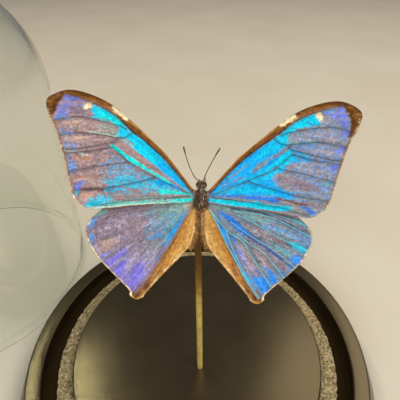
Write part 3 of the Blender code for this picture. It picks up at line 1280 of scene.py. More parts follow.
@dataclass(frozen=True)
class Patch(ScaleZone):
    """A zone inside a closed outline."""

    def edge(self, x: Array, y: Array) -> Array:
        """Distance outside the outline, negative inside."""
        corners = np.asarray(self.route, float)
        distance = route_distance(x, y, np.vstack([corners, corners[:1]]))[0]
        return np.where(inside_area(x, y, corners), -distance, distance)


@dataclass(frozen=True)
class WingPlan:
    """Outline, veins and run of the scales of a right wing, in millimetres from its root.

    The first number of a point is outwards and the second towards the head. The scales run out from
    the hub, and beyond straight_from they run side by side with a slope.
    """

    name: str
    outline: Route
    veins: tuple[Route, ...]
    dihedral_deg: float
    lift: float
    rays: int
    steps: int
    hub: Point
    reach: float
    straight_from: float
    slope: float
    blend: float = 8.0
    long_fray: Point = (2.4, 0.5)
    short_fray: Point = (1.0, 0.28)
    speck_streak: Point = (1.1, 0.4)
    sheen_streak: Point = (4.0, 0.36)
    sheen_from: float = 9.0
    scale_size: float = 0.3
    glint_size: float = 0.55
    sheen_depth: float = 0.4
    scale_depth: float = 0.3
    glint_depth: float = 0.42

    def run(self, x: Array, y: Array) -> tuple[Array, Array]:
        """Measure places along and across the run of the scales.

        Args:
            x: millimetres outwards from the wing's root.
            y: millimetres towards the head.
        Returns:
            millimetres along the run and across it.
        """
        along = np.hypot(x - self.hub[0], y - self.hub[1])
        fan = np.arctan2(y - self.hub[1], x - self.hub[0]) * self.reach
        beside = y - self.slope * (x - self.straight_from)
        mix = smooth_step((x - self.straight_from) / self.blend + 0.5)
        return along, fan * (1.0 - mix) + beside * mix

    def streaks(self, x: Array, y: Array, length: float, width: float, seed: int) -> Array:
        """Noise from 0 to 1 that is drawn out along the run of the scales."""
        along, across = self.run(x, y)
        return lattice_noise(along * width / length + STREAK_SHIFT, across + STREAK_SHIFT, width, seed)

    def vein_distance(self, x: Array, y: Array) -> Array:
        """Distance of each place from the nearest vein, in millimetres."""
        routes = [smooth_line(vein, 3) for vein in self.veins]
        return np.min([route_distance(x, y, route)[0] for route in routes], axis=0)

    def paint(
        self, x: Array, y: Array, ground: Tone, zones: Sequence[ScaleZone], seed: int,
    ) -> Array:
        """Lay zones of scales over a ground colour.

        Args:
            x: millimetres outwards from the wing's root.
            y: millimetres towards the head.
            ground: the tone under all zones.
            zones: the zones, from the first laid to the last.
            seed: seed of the frayed edges and the speckle.
        Returns:
            linear red, green and blue, one row for each place.
        """
        colour = np.tile(ground.light, (len(x), 1))
        shifted = x + WING_SHIFT, y + WING_SHIFT
        fray = self.streaks(x, y, *self.long_fray, seed) - 0.75
        fray = fray + 0.5 * self.streaks(x, y, *self.short_fray, seed + 1)
        for order, zone in enumerate(zones):
            speck = 0.35 * self.streaks(x, y, *self.speck_streak, seed + SPECK_SEEDS + order)
            speck = speck + 0.65 * lattice_noise(*shifted, self.scale_size, seed + GRAIN_SEEDS + order)
            cover = zone.cover(x, y, fray, np.clip((speck - 0.5) * 1.8 + 0.5, 0.0, 1.0))[:, None]
            colour = colour + (zone.tone.light - colour) * cover
        sheen = self.streaks(x, y, *self.sheen_streak, seed + 4) - 0.5
        sheen = sheen * smooth_step(self.run(x, y)[0] / self.sheen_from) * self.sheen_depth
        scale = (lattice_noise(*shifted, self.scale_size, seed + 5) - 0.5) * self.scale_depth
        glint = lattice_noise(x + GLINT_SHIFT, y + GLINT_SHIFT, self.glint_size, seed + 6) - 0.5
        return colour * (1.0 + sheen + scale + glint * self.glint_depth)[:, None]


def eye_spot(route: Route, halves: Sequence[float]) -> list[Band]:
    """Lay the rings of an eye spot, the widest first.

    Args:
        route: the short line along its middle.
        halves: half the width of each ring, from the dark outer one inwards.
    Returns:
        a band for each ring.
    """
    rings = (
        (Tone.UMBER, 0.3, 0.2), (Tone.AMBER, 0.25, 0.2), (Tone.UMBER, 0.2, 0.2), (Tone.CREAM, 0.2, 0.0))
    return [Band(tone, route, soft, grain, half=(half, half))
            for (tone, soft, grain), half in zip(rings, halves)]


FOREWING = WingPlan(
    "forewing",
    ((0.0, 1.6), (8.8, 12.0), (20.2, 21.9), (27.0, 26.9), (34.5, 29.8), (40.5, 30.2),
     (45.6, 27.2), (44.8, 22.4), (42.2, 17.5), (39.3, 9.4), (36.6, 0.6), (35.3, -2.6),
     (30.2, -5.3), (21.3, -4.2), (9.2, -3.0), (0.0, -2.1)),
    (
        ((0.5, 0.5), (5.3, 6.2), (10.0, 11.0), (15.0, 15.2), (21.0, 20.0), (28.0, 24.9),
         (35.0, 27.6), (41.0, 29.2)),
        ((1.5, 0.4), (5.0, 1.9), (10.0, 4.1), (15.0, 6.5), (20.0, 9.1), (24.0, 12.6), (25.2, 13.6)),
        ((19.7, 18.0), (21.5, 16.7), (23.5, 16.2), (25.0, 14.6), (25.2, 13.6)),
        ((21.5, 19.2), (24.0, 20.2), (28.0, 21.0), (36.0, 22.3), (43.0, 20.8)),
        ((24.0, 16.4), (28.0, 17.0), (32.0, 17.4), (36.0, 17.2), (41.2, 16.2)),
        ((25.0, 14.9), (31.0, 13.5), (37.5, 12.1), (39.9, 12.0)),
        ((25.3, 13.5), (32.0, 11.9), (36.0, 11.4), (39.3, 10.9)),
        ((20.5, 9.2), (24.0, 8.5), (29.0, 7.6), (34.0, 6.4), (38.0, 5.5)),
        ((12.0, 4.9), (16.0, 3.6), (24.0, 1.6), (28.0, 0.8), (36.2, -0.2)),
        ((1.0, -0.4), (5.0, -0.8), (10.0, -1.2), (20.0, -2.4), (30.0, -4.4)),
    ),
    dihedral_deg=5.0, lift=0.45, rays=300, steps=130,
    hub=(-2.0, -0.5), reach=26.5, straight_from=22.0, slope=-0.15,
)

HINDWING = WingPlan(
    "hindwing",
    ((0.0, -0.6), (11.8, -0.2), (23.8, -3.2), (30.2, -7.8), (31.8, -11.4), (31.0, -14.6),
     (27.1, -20.1), (18.4, -28.1), (17.7, -30.0), (15.9, -31.2), (13.9, -30.6), (12.6, -28.8),
     (8.0, -23.6), (2.8, -18.0), (0.3, -14.6), (-0.9, -10.5), (-0.9, -5.2)),
    (
        ((0.7, -4.2), (3.2, -8.8), (6.2, -14.5), (9.0, -19.0), (11.7, -23.8),
         (14.5, -27.8), (16.0, -29.8)),
        ((0.3, -3.8), (3.0, -7.0), (5.5, -9.7), (8.0, -11.5), (11.0, -13.5), (14.0, -18.0), (19.6, -26.0)),
        ((5.8, -10.0), (7.0, -13.5), (9.0, -17.5), (13.0, -25.0), (16.4, -29.6)),
        ((9.0, -11.0), (12.0, -13.2), (15.0, -15.0), (18.0, -17.0), (23.6, -23.4)),
        ((7.0, -7.5), (11.0, -10.2), (15.0, -12.5), (20.0, -15.3), (26.8, -20.3)),
        ((9.0, -5.5), (13.0, -7.0), (18.0, -9.7), (22.0, -11.7), (30.4, -15.4)),
        ((8.0, -4.2), (14.0, -4.8), (19.0, -5.6), (24.0, -7.5), (31.6, -11.2)),
        ((6.0, -2.5), (12.0, -3.0), (18.0, -4.3), (24.0, -5.7), (30.0, -7.8)),
    ),
    dihedral_deg=3.0, lift=-0.45, rays=260, steps=116,
    hub=(-1.0, -2.0), reach=24.0, straight_from=900.0, slope=0.0,
)

FOREWING_EDGES = (
    Patch(Tone.CHESTNUT, ((0, 0.3), (5.3, 6.3), (10, 11.1), (15, 15.3), (19.8, 18.7), (23, 21.6),
        (26, 24), (31, 26.3), (36, 28.2), (41, 29.2), (41.5, 32), (34, 32), (24, 27), (8, 13.5), (-1, 2)),
        0.15, 0.1),
    Band(Tone.TAN, ((0.8, 2.4), (5, 7.5), (10, 13), (16, 18.2), (21, 22.2)), 0.3, 0.2, 1, (0.35, 0.35)),
    Band(Tone.UMBER, ((1, 1.2), (5.3, 6.3), (10, 11.2), (15, 15.4), (19.8, 18.7), (23, 21.5)), 0.2, 0.1,
        0.85, (0.1, 0.2)),
    Band(Tone.BARK, ((2, 3), (10, 12.2), (15, 16.5), (20, 20.4)), 0.2, 0.2, 0.8, (0.05, 0.2)),
    Band(Tone.BARK, ((25, 25.6), (30, 28.3), (36, 30), (41, 30.4)), 0.4, 0.2, 1, (0.4, 0.9)),
    Band(Tone.CLAY, ((26.5, 24.9), (30, 26.4), (34, 27.6)), 0.35, 0.3, 0.9, (0.35, 0.3)),
    Patch(Tone.BARK, ((40.4, 30.8), (46.5, 27.5), (45.6, 22.2), (44, 21.6), (43, 22.8), (42.6, 25.2),
        (41.3, 27.4), (40.6, 29)), 0.35, 0.3),
    Band(Tone.CHESTNUT, ((41.8, 28.8), (44.2, 27), (44.6, 24)), 0.5, 0.5, 0.8, (0.5, 0.4)),
    Band(Tone.TAN, ((43.2, 26.3), (45.4, 26.3)), 0.25, 0.3, 0.8, (0.15, 0.2)),
    Band(Tone.COCOA, ((44.2, 22.3), (41.9, 17.4), (39, 9.4), (36.3, 0.6), (35.2, -2.2)), 0.3, 0.3, 1,
        (0.4, 0.3)),
    Band(Tone.STRAW, ((45.2, 25), (44.6, 22.3), (42.1, 17.5), (39.2, 9.4), (36.5, 0.6), (35.2, -2.6)),
        0.15, 0.6, 0.9, (0.1, 0.14)),
    Band(Tone.CREAM, ((35.9, -1.4), (34.8, -3.2), (33, -4.3)), 0.2, 0.2, 0.9, (0.15, 0.25)),
    Band(Tone.CREAM, ((21.5, 22.3), (23.4, 23.7), (25.6, 25.3)), 0.22, 0.1, 1, (0.55, 0.5)),
    Band(Tone.STRAW, ((24.8, 23.9), (26.4, 25)), 0.3, 0.4, 0.8, (0.3, 0.2)),
)

CREAM_DOT_LEFT = (
    Band(Tone.CREAM, ((33, 26.1), (33.9, 25.2)), 0.3, 0.1, 1, (0.75, 0.75)),
)

CREAM_DOT_RIGHT = (
    Band(Tone.CREAM, ((33, 25.9), (33.4, 24.8)), 0.3, 0.1, 1, (0.9, 0.85)),
)

# Painted reflection: the cyan, blue and violet zones lay the iridescent light that the left forewing
# reflected in as colour; the mauve ground is its own.
FOREWING_LEFT = (
    Patch(Tone.ROSE, ((26, 21.2), (32, 21.6), (40, 21), (40.5, 19.2), (36, 18.2), (30, 18.4)), 1, 0.5),
    Patch(Tone.SAGE, ((24.2, 20.2), (28, 20.6), (30.5, 20), (30, 18.2), (24.4, 17.4)), 0.7, 0.4),
    Patch(Tone.DUSK, ((32.5, 25), (36, 26.6), (39, 26), (40.6, 22.6), (36, 22.8), (33, 22.4)), 0.9, 0.5),
    Band(Tone.ROSE, ((26.5, 15.6), (34, 15.6), (39, 14.6)), 0.8, 0.5, 1, (0.7, 0.7)),
    Band(Tone.PEACH, ((33, 15.9), (38.5, 15.6)), 0.6, 1, 1, (0.5, 0.6)),
    Band(Tone.PEACH, ((36, 20.4), (40, 19.6)), 0.6, 1, 1, (0.4, 0.5)),
    Band(Tone.RUST, ((31.5, 9.6), (35, 9.6), (37.5, 10.4)), 0.5, 0.9, 1, (0.5, 0.5)),
    Patch(Tone.ROSE, ((28, 3.4), (35.5, 4.2), (36, 2.8), (33, 1.4), (28, 1.4)), 0.8, 0.5),
    Band(Tone.RUST, ((29.5, 4.1), (33, 4.1), (35.6, 3.9)), 0.35, 0.5, 1, (0.3, 0.35)),
    Band(Tone.DARK_RUST, ((22, 0.4), (27, 0.5), (31, 0.7), (35, 0.5)), 0.4, 0.4, 1, (0.25, 0.4)),
    Patch(Tone.PEACH, ((29.5, -0.4), (34, -0.5), (33.8, -2.2), (32.6, -3), (30.6, -1.8)), 0.5, 0.6),
    Patch(Tone.TEAL, ((2, 0.3), (6, 2.2), (12, 4.8), (17, 6), (23, 5.4), (27, 3.4), (26.5, 1.4),
        (20, 0.9), (10, -0.2)), 1.4, 1, 0.8, density=0.7),
    Patch(Tone.BRUISE, ((24, 19.8), (33, 21.8), (41, 20.8), (41.5, 17), (38.8, 9), (36, 0.5), (26, 2),
        (19, 7), (25, 13)), 1.2, 1, 0.4, density=0.34),
    Patch(Tone.FROST, ((24, 19.8), (33, 24.8), (40, 23.8), (41.5, 17), (38.8, 9), (36, 0.5), (26, 2),
        (19, 7), (25, 13)), 1.2, 1, 0.32, density=0.3),
    Patch(Tone.STEEL, ((9, 0.5), (17, 0.8), (25, 0.4), (27, -1), (20, -2), (9, -1.2)), 0.9, 0.7, 0.5),
    Patch(Tone.AQUA, ((-0.3, -1.2), (9, -1.4), (18, -2.2), (26, -3), (30, -4.4), (22, -4.4), (9, -3.2),
        (1, -2.2)), 0.6, 0.7),
    Patch(Tone.FROST, ((4, -1), (18, -1.6), (26, -2.6), (30, -4.4), (20, -4), (8, -3)), 0.5, 1,
        0.35, density=0.3),
    Band(Tone.SKY, ((9, 2.6), (17, 2.4), (25, 2.2)), 1.4, 1, 0.85, (1.4, 2), density=0.6),
    Patch(Tone.SKY, ((6, 2.4), (12, 5.2), (18, 8.2), (23, 11.6), (26, 12), (28.5, 8.6), (26, 4.6),
        (20, 3.6), (10, 2)), 1.6, 1, 0.85, density=0.5),
    Band(Tone.CYAN, ((5, 1.2), (11, 2.2), (18, 3), (24, 2.4)), 1.2, 1, 0.9, (0.8, 1.8), density=0.5),
    Band(Tone.AZURE, ((4.5, 1.9), (8, 2.9), (11.2, 3.6)), 0.5, 0.4, 1, (0.5, 0.8)),
    Band(Tone.TURQUOISE, ((-0.3, 0), (5, 0.5), (10, 0.5)), 0.4, 0.25, 1, (0.25, 0.7)),
    Band(Tone.TURQUOISE, ((-0.3, -1.2), (2.6, -1.4), (6, -1.6)), 0.3, 0.2, 1, (0.5, 0.3)),
    Patch(Tone.CYAN, ((-0.2, 0.2), (5.5, 6.3), (10, 11.1), (15, 15.3), (19.6, 18.3), (22, 17.2),
        (23.8, 16.6), (21, 14.6), (16.5, 11.2), (12, 8.2), (8, 5.6), (4, 2.6)), 0.3, 0.1),
    Band(Tone.AZURE, ((3, 2.6), (6.5, 5.4), (10.5, 8.6)), 0.9, 0.3, 0.9, (0.5, 1.2)),
    Patch(Tone.CYAN, ((19.8, 18.2), (22, 20.6), (25, 22.9), (28, 24.9), (31.8, 26.1), (32.2, 24.6),
        (32, 22.4), (29, 21.9), (26, 21.2), (24.3, 20.2), (23.9, 18.2), (24.2, 16.8), (22, 17)), 0.7,
        0.55),
    Band(Tone.TURQUOISE, ((22, 20), (26, 22), (30, 23.4)), 0.8, 0.8, 0.8, (0.5, 0.8)),
    Patch(Tone.MAUVE, ((9.5, 6.2), (13, 8.9), (17, 11.8), (21, 14.4), (24.2, 16), (25, 14.8), (22.5, 13),
        (18, 10.6), (14, 8.2), (11, 6.5)), 0.25, 0.3),
    Band(Tone.SAGE, ((19.5, 14.4), (22, 15.9), (23.4, 16.2)), 0.5, 0.7, 0.9, (0.4, 0.4)),
    Patch(Tone.TURQUOISE, ((6.5, 3.2), (10, 5.2), (14, 7.4), (17, 9.2), (20.5, 11.2), (24, 13.6),
        (25.6, 14.6), (25.9, 13.6), (24.4, 12.6), (21.5, 10.5), (18, 8.3), (13, 5.8), (8, 3.4)), 0.2,
        0.15),
    # Painted highlight: a pale line along a vein.
    Band(Tone.MINT, ((24.5, 16.7), (28, 17.3), (32.2, 17.6)), 0.2, 0.3, 0.9, (0.2, 0.25)),
    Band(Tone.LILAC, ((22, 8.9), (26, 8.5), (30, 7.7)), 0.2, 0.5, 0.7, (0.12, 0.12)),
    # Painted highlight: a pale line along a vein.
    Band(Tone.MINT, ((32.5, 10.7), (36, 11.5), (39.8, 12.1)), 0.2, 0.4, 0.7, (0.15, 0.25)),
    Patch(Tone.VIOLET, ((35, 27.3), (37.5, 28.6), (40.8, 28.8), (41.2, 27), (42.4, 25.2), (43, 22.8),
        (42, 20.8), (40.8, 21.6), (39.8, 24), (38.8, 26), (36.5, 26.8)), 1.5, 1, density=0.8),
    Band(Tone.BLUE, ((39.6, 21.4), (42.4, 21.7)), 0.9, 1, 1, (0.3, 0.6), density=0.7),
    Band(Tone.BLUE, ((38.2, 17.4), (40.9, 17.6)), 1.2, 1, 0.9, (0.6, 0.8), density=0.65),
    Band(Tone.BLUE, ((36.8, 13), (39.6, 13.4)), 1.2, 1, 0.9, (0.8, 1), density=0.65),
    Patch(Tone.BLUE, ((34.6, 5.2), (37.6, 5), (38.6, 8.8), (39.3, 10.9), (38, 10.6), (36.6, 8.2),
        (35, 7)), 1, 1, density=0.7),
    Patch(Tone.VIOLET, ((32.4, 2.6), (34, 3), (35.9, 1.6), (36.2, 0), (34.8, 0.2)), 0.35, 0.5),
    Band(Tone.CYAN, ((34.6, -0.6), (35.3, -1.4)), 0.35, 0.4, 0.9, (0.5, 0.5)),
    Patch(Tone.CYAN, ((25.2, -1.8), (28.5, -1.4), (31, -2.6), (32.6, -3.6), (31.4, -4.9), (28.4, -4.6),
        (25.6, -3.4)), 0.9, 0.8, density=0.85),
    # Painted highlight along the trailing edge.
    Band(Tone.MINT, ((8, -2.6), (16, -3.3), (24, -4.2), (31, -5)), 0.25, 0.4, 0.8, (0.2, 0.3)),
)

# Painted reflection: the blue, cyan and violet zones lay the iridescent light that the right forewing
# reflected in as colour, so they differ from the left forewing's.
FOREWING_RIGHT = (
    Patch(Tone.SAGE, ((23.8, 20), (29, 21.2), (31, 20), (29.5, 18.2), (24, 17.4)), 0.8, 0.5, 0.8),
    Band(Tone.ROSE, ((26, 19.2), (34, 19.4), (38, 19)), 1.2, 1, 0.9, (0.9, 0.9), density=0.55),
    Band(Tone.ROSE, ((27, 14.8), (32, 14.6), (38.5, 13.8)), 1, 1, 0.9, (0.5, 0.8), density=0.6),
    Band(Tone.ROSE, ((28.5, 9.2), (37, 8.5)), 1, 1, 0.9, (0.7, 0.8), density=0.55),
    Patch(Tone.BRUISE, ((24, 19.8), (33, 21.8), (41, 20.8), (41.5, 17), (38.8, 9), (36, 0.5), (26, 2),
        (20, 5), (25, 11)), 1.2, 1, 0.4, density=0.36),
    Patch(Tone.FROST, ((24, 19.8), (33, 24.8), (40, 23.8), (41.5, 17), (38.8, 9), (36, 0.5), (26, 2),
        (20, 5), (25, 11)), 1.2, 1, 0.36, density=0.34),
    Patch(Tone.BLUE, ((24, 20.4), (33, 24.8), (40, 24.6), (42, 20), (39.6, 10), (36.4, 0.4), (28, -1),
        (24, 4), (25, 11)), 1.6, 1, 0.8, density=0.4),
    Patch(Tone.DUSK, ((20.4, 7), (24, 7), (29, 5.4), (34, 3.6), (33, 2.2), (26, 3.4), (21.4, 4.6)), 0.8,
        0.5),
    Patch(Tone.AZURE, ((-0.4, 0), (5.5, 6.2), (10, 10.9), (15, 15.1), (19.5, 18.1), (23.4, 16.6),
        (25.2, 14.6), (25.2, 13.6), (20, 9.2), (15, 6.6), (10, 4.2), (5, 2)), 0.25, 0.1),
    Band(Tone.CYAN, ((15, 12.8), (20, 16), (22.8, 17.2)), 1.2, 0.2, 0.8, (1, 1.4)),
    Band(Tone.STEEL, ((3.6, 3), (7, 6.2), (11.6, 9.8)), 0.4, 0.4, 0.7, (0.25, 0.2)),
    Band(Tone.STEEL, ((4.6, 3), (8, 4.9), (11, 6)), 0.4, 0.6, 0.7, (0.3, 0.3)),
    Patch(Tone.STEEL, ((12.8, 8), (15, 10.4), (18, 12.4), (21.5, 14.6), (23.6, 15.8), (24.3, 15),
        (21.5, 13.2), (18.4, 11.4), (16, 9.4), (14, 7.6)), 0.35, 0.6),
    Patch(Tone.CYAN, ((8, 3.8), (14, 7), (18, 9.6), (21, 12), (24, 14.6), (25.6, 14.4), (25.2, 13.2),
        (22, 10.6), (20, 9.2), (15, 6.6)), 0.25, 0.2),
    Patch(Tone.CYAN, ((19.4, 18), (22, 20.4), (25, 22.6), (28, 24.6), (31.6, 26), (33.2, 24.8),
        (33.4, 22.9), (31, 22.4), (27, 21.2), (24.4, 20.2), (23.6, 18.4), (23.4, 16.6)), 0.6, 0.5),
    Patch(Tone.AZURE, ((-0.4, -0.1), (5, 1.7), (10, 4), (15, 6.4), (20, 9), (24, 12.4), (25.4, 13.6),
        (25.6, 14.6), (28, 13.8), (31.5, 13), (31.2, 12.4), (28, 11.9), (24.6, 11), (22.4, 9),
        (20.4, 7.4), (19.4, 6), (20, 4.6), (22, 3), (25.5, 1.6), (29, 0.8), (28, 0.2), (22, 0.2),
        (16, 0.4), (8, 0.2)), 0.8, 0.6),
    Band(Tone.CYAN, ((3, 1.2), (9, 2.2), (15, 2.4), (19, 2.2)), 0.7, 0.3, 0.9, (0.4, 0.9)),
    Band(Tone.CYAN, ((12, 5), (17, 6.2), (21, 9), (25, 12.8)), 0.6, 0.4, 0.9, (0.3, 0.9)),
    Band(Tone.TEAL, ((25.4, 13.4), (28, 13), (31.4, 12.7)), 0.4, 0.4, 0.8, (0.6, 0.15)),
    Band(Tone.ROYAL, ((4, 0.3), (10, 0.1), (16, -0.2), (21, -0.7)), 0.35, 0.3, 1, (0.2, 0.75)),
    Band(Tone.DARK_RUST, ((20.5, -0.2), (25, -0.8), (29.5, -1.4)), 0.35, 0.3, 1, (0.3, 0.5)),
    Band(Tone.DUSK, ((30, -1.2), (33.5, -1.8)), 0.6, 0.5, 0.8, (0.6, 0.6)),
    Patch(Tone.CYAN, ((-0.4, -0.6), (6, -1), (14, -1.3), (20, -1.9), (24.5, -2.3), (25.6, -3), (22, -3.7),
        (14, -3.3), (6, -2.6), (-0.4, -1.6)), 0.25, 0.15),
    Band(Tone.TURQUOISE, ((2, -1.2), (10, -1.9), (19, -2.6)), 0.4, 0.3, 0.7, (0.25, 0.35)),
    Band(Tone.SAGE, ((26, -2.9), (28, -3.6)), 0.5, 0.4, 0.8, (0.6, 0.5)),
    Patch(Tone.ROYAL, ((27.8, -2), (30.5, -2.2), (32.4, -4), (30.8, -4.4), (28.6, -3)), 0.35, 0.5, 0.8),
    Band(Tone.TEAL, ((24.2, 16.7), (28, 17.1), (32, 17.2)), 0.25, 0.3, 0.8, (0.25, 0.3)),
    Band(Tone.STEEL, ((33, 17), (39, 16.2)), 0.5, 0.5, 0.7, (0.4, 0.5)),
    Patch(Tone.VIOLET, ((36, 26.9), (39.5, 28.3), (40.6, 27.2), (41.6, 25.6), (42.2, 22.5), (42, 19.8),
        (40, 19.4), (40, 22), (39, 24.6), (37, 25.2), (35, 26.3)), 1.2, 0.7),
    Band(Tone.BLUE, ((34.6, 26.8), (37.4, 27.4)), 0.35, 0.4, 0.9, (0.3, 0.4)),
    Band(Tone.VIOLET, ((38.6, 15.2), (40.3, 15.4)), 0.6, 0.6, 1, (0.8, 0.9)),
    Band(Tone.VIOLET, ((36.8, 9.6), (38.3, 10.2)), 0.6, 0.6, 1, (0.8, 0.9)),
    Band(Tone.TEAL, ((34.2, 4.8), (37.2, 4.8)), 0.5, 0.6, 1, (0.5, 0.6)),
    Band(Tone.BLUE, ((34.6, 1.4), (36, 0.8)), 0.5, 0.6, 1, (0.5, 0.6)),
    Patch(Tone.BARK, ((40.4, 29.9), (46.4, 27.5), (46, 22.6), (43, 18.4), (41.9, 19.6), (42.3, 22.6),
        (42, 25.6), (41.2, 27.4)), 0.4, 0.3),
)

FOLD = ((0.5, -4), (3, -8.8), (6, -14.5), (8.8, -19), (11.5, -23.8), (14.3, -27.6), (16.9, -29.6),
    (18.4, -29.6), (17.6, -33), (10, -29), (-2, -19), (-3, -8), (-2, -3.5))

FOLD_EDGE = ((-0.9, -3.4), (-0.9, -6), (-0.9, -10.5), (0, -14), (1, -15.8))

HINDWING_EDGES = (
    Patch(Tone.AMBER, FOLD, 0.22, 0.05),
    Band(Tone.GOLD, ((-0.4, -4.6), (0.2, -9), (1.8, -14), (5.4, -18.6)), 1.3, 0.1, 0.9, (1.2, 0.5)),
    Band(Tone.TAN, ((2.4, -7.4), (5.4, -13.6), (8.4, -18.9), (11.2, -23.6)), 0.7, 0.1, 0.9, (0.2, 0.6)),
    Band(Tone.CHESTNUT, ((3.4, -9.6), (6.2, -15.2), (9, -19.8)), 0.35, 0.2, 0.7, (0.1, 0.2)),
    Band(Tone.CHESTNUT, ((1.4, -8), (3, -12.4), (6.4, -17.6)), 0.5, 0.2, 0.3, (0.1, 0.2)),
    Band(Tone.COCOA, ((8.6, -20.6), (12, -25.6), (15.4, -29.6)), 1.2, 0.1, 0.9, (0.6, 1.6)),
    Band(Tone.STRAW, ((-0.7, -9.5), (0.5, -14.4), (3, -17.8), (8.2, -23.2), (12.6, -28.4)), 0.25, 0.4, 1,
        (0.14, 0.14)),
    Band(Tone.BARK, ((12.8, -27.4), (14.8, -29.8), (17, -30.2)), 0.5, 0.4, 0.9, (0.4, 0.5)),
    Band(Tone.CREAM, ((13.2, -29.8), (14.2, -30.6), (15, -30.8)), 0.2, 0.2, 1, (0.34, 0.2)),
    Band(Tone.CREAM, ((17.3, -30.2), (17.6, -29.2), (18.2, -28.2)), 0.2, 0.2, 1, (0.36, 0.3)),
    Band(Tone.BRUISE, ((30, -8), (31.4, -11.4), (30.6, -14.4), (26.8, -19.8), (18.4, -27.7)), 0.2, 0.8,
        0.6, (0.1, 0.1)),
    Band(Tone.CREAM, ((30.4, -8.2), (31.7, -11.4), (30.9, -14.6), (27, -20.1), (18.4, -28)), 0.18, 0.5, 1,
        (0.12, 0.14)),
)

# Painted reflection: the blue, sky and violet zones lay the iridescent light that the left hindwing
# reflected in as colour.
HINDWING_LEFT = (
    Patch(Tone.BRUISE, ((10, -4.4), (20, -5.6), (29, -9.5), (30, -14), (24, -18.5), (16, -18), (11, -10)),
        1.5, 1, 0.4, density=0.36),
    Patch(Tone.SEA, ((0.5, -2.2), (6, -2.4), (12, -3.4), (14, -5.6), (12.5, -8), (9, -9.6), (6, -9),
        (3, -6.5), (1, -4.4)), 1.8, 0.9, 0.95, density=0.85),
    Patch(Tone.SKY, ((3, -6), (9, -5), (14, -8), (15, -12), (11, -16), (8, -13)), 1.8, 1,
        0.8, density=0.5),
    Patch(Tone.LILAC, ((8, -4.6), (20, -5.8), (29, -9.8), (30, -14), (24, -20), (15, -22), (10, -13)),
        1.8, 1, 0.6, density=0.32),
    Band(Tone.STRAW, ((0.4, -2.6), (2, -3.4)), 0.6, 0.6, 0.7, (0.5, 0.4)),
    Band(Tone.TEAL, ((4, -7), (7, -10.6), (9.2, -13.6)), 0.8, 0.8, 0.9, (0.7, 0.9)),
    Band(Tone.SKY, ((5, -8.6), (8.4, -13), (11.4, -18.4)), 1.4, 1, 0.8, (1.2, 1.4), density=0.5),
    Patch(Tone.SLATE, ((8, -13), (12, -13.6), (15, -17), (14, -20.4), (11, -19.6)), 1.4, 0.7, 0.9),
    Patch(Tone.FROST, ((2, -3), (18, -5), (28, -9.5), (29, -16), (20, -26), (14, -26), (8, -13)), 1.5, 1,
        0.3, density=0.28),
    Patch(Tone.AZURE, ((1.4, -4.6), (3.4, -6.8), (5.6, -10), (7.6, -13), (8.7, -16.2), (7.4, -15.4),
        (5.4, -12), (3.4, -8.6)), 0.2, 0.1),
    Band(Tone.BLUE, ((8.2, -15.6), (10.4, -20)), 0.4, 0.5, 0.7, (0.4, 0.5)),
    Band(Tone.AZURE, ((10, -12.2), (12.6, -13.6)), 0.35, 0.5, 0.9, (0.5, 0.4)),
    Band(Tone.TEAL, ((10.4, -10.4), (13.6, -11.6)), 0.4, 0.7, 0.9, (0.35, 0.3)),
    Patch(Tone.LILAC, ((11, -19), (17, -17), (24, -18.5), (26.6, -20.4), (20, -27), (16, -29), (13, -25)),
        2.4, 0.6, 0.7),
    Patch(Tone.PURPLE, ((14, -21), (16.2, -21), (18.4, -24.4), (20.2, -27), (17, -29.4), (15.4, -28.4),
        (13.4, -25), (12.8, -22.6)), 1.5, 0.5),
    Patch(Tone.PURPLE, ((19, -20), (21, -20.4), (23.6, -23.2), (21, -26), (19.6, -24)), 1.1, 0.5),
    Patch(Tone.PURPLE, ((20, -16.6), (22.4, -17.8), (25.8, -20.9), (24, -22.2), (22, -20), (19, -18)),
        0.9, 0.5),
    Band(Tone.VIOLET, ((24.6, -18.4), (27.4, -19.6)), 0.5, 0.5, 0.9, (0.4, 0.5)),
    Band(Tone.LILAC, ((10.8, -20.8), (14.2, -26.4)), 0.6, 0.5, 0.9, (0.5, 0.7)),
    Patch(Tone.ROSE, ((21.6, -13.2), (26, -14.6), (28.6, -17), (27, -18.2), (23, -16)), 0.8, 0.5, 0.9),
    Band(Tone.ROSE, ((14, -8.6), (20, -11.4)), 0.9, 0.5, 0.6, (0.6, 0.6)),
    Patch(Tone.BLUE, ((28.6, -7.8), (30.6, -8.4), (31.6, -11), (30.6, -11.8), (29.4, -10)), 0.4, 0.4),
    Band(Tone.BLUE, ((29.8, -13.2), (30.2, -16.2)), 0.5, 0.6, 1, (0.6, 0.5)),
    Band(Tone.LILAC, ((28.6, -16.6), (27.8, -18.4)), 0.4, 0.7, 0.8, (0.4, 0.4)),
    Band(Tone.SEA, ((26.2, -5.6), (29.6, -7.4)), 0.4, 0.5, 1, (0.4, 0.4)),
    Band(Tone.LILAC, ((19, -14.8), (25.8, -19)), 0.18, 0.3, 0.7, (0.1, 0.12)),
    Band(Tone.LILAC, ((10, -5.8), (17, -6.2), (24, -8.8)), 0.18, 0.4, 0.6, (0.1, 0.1)),
)
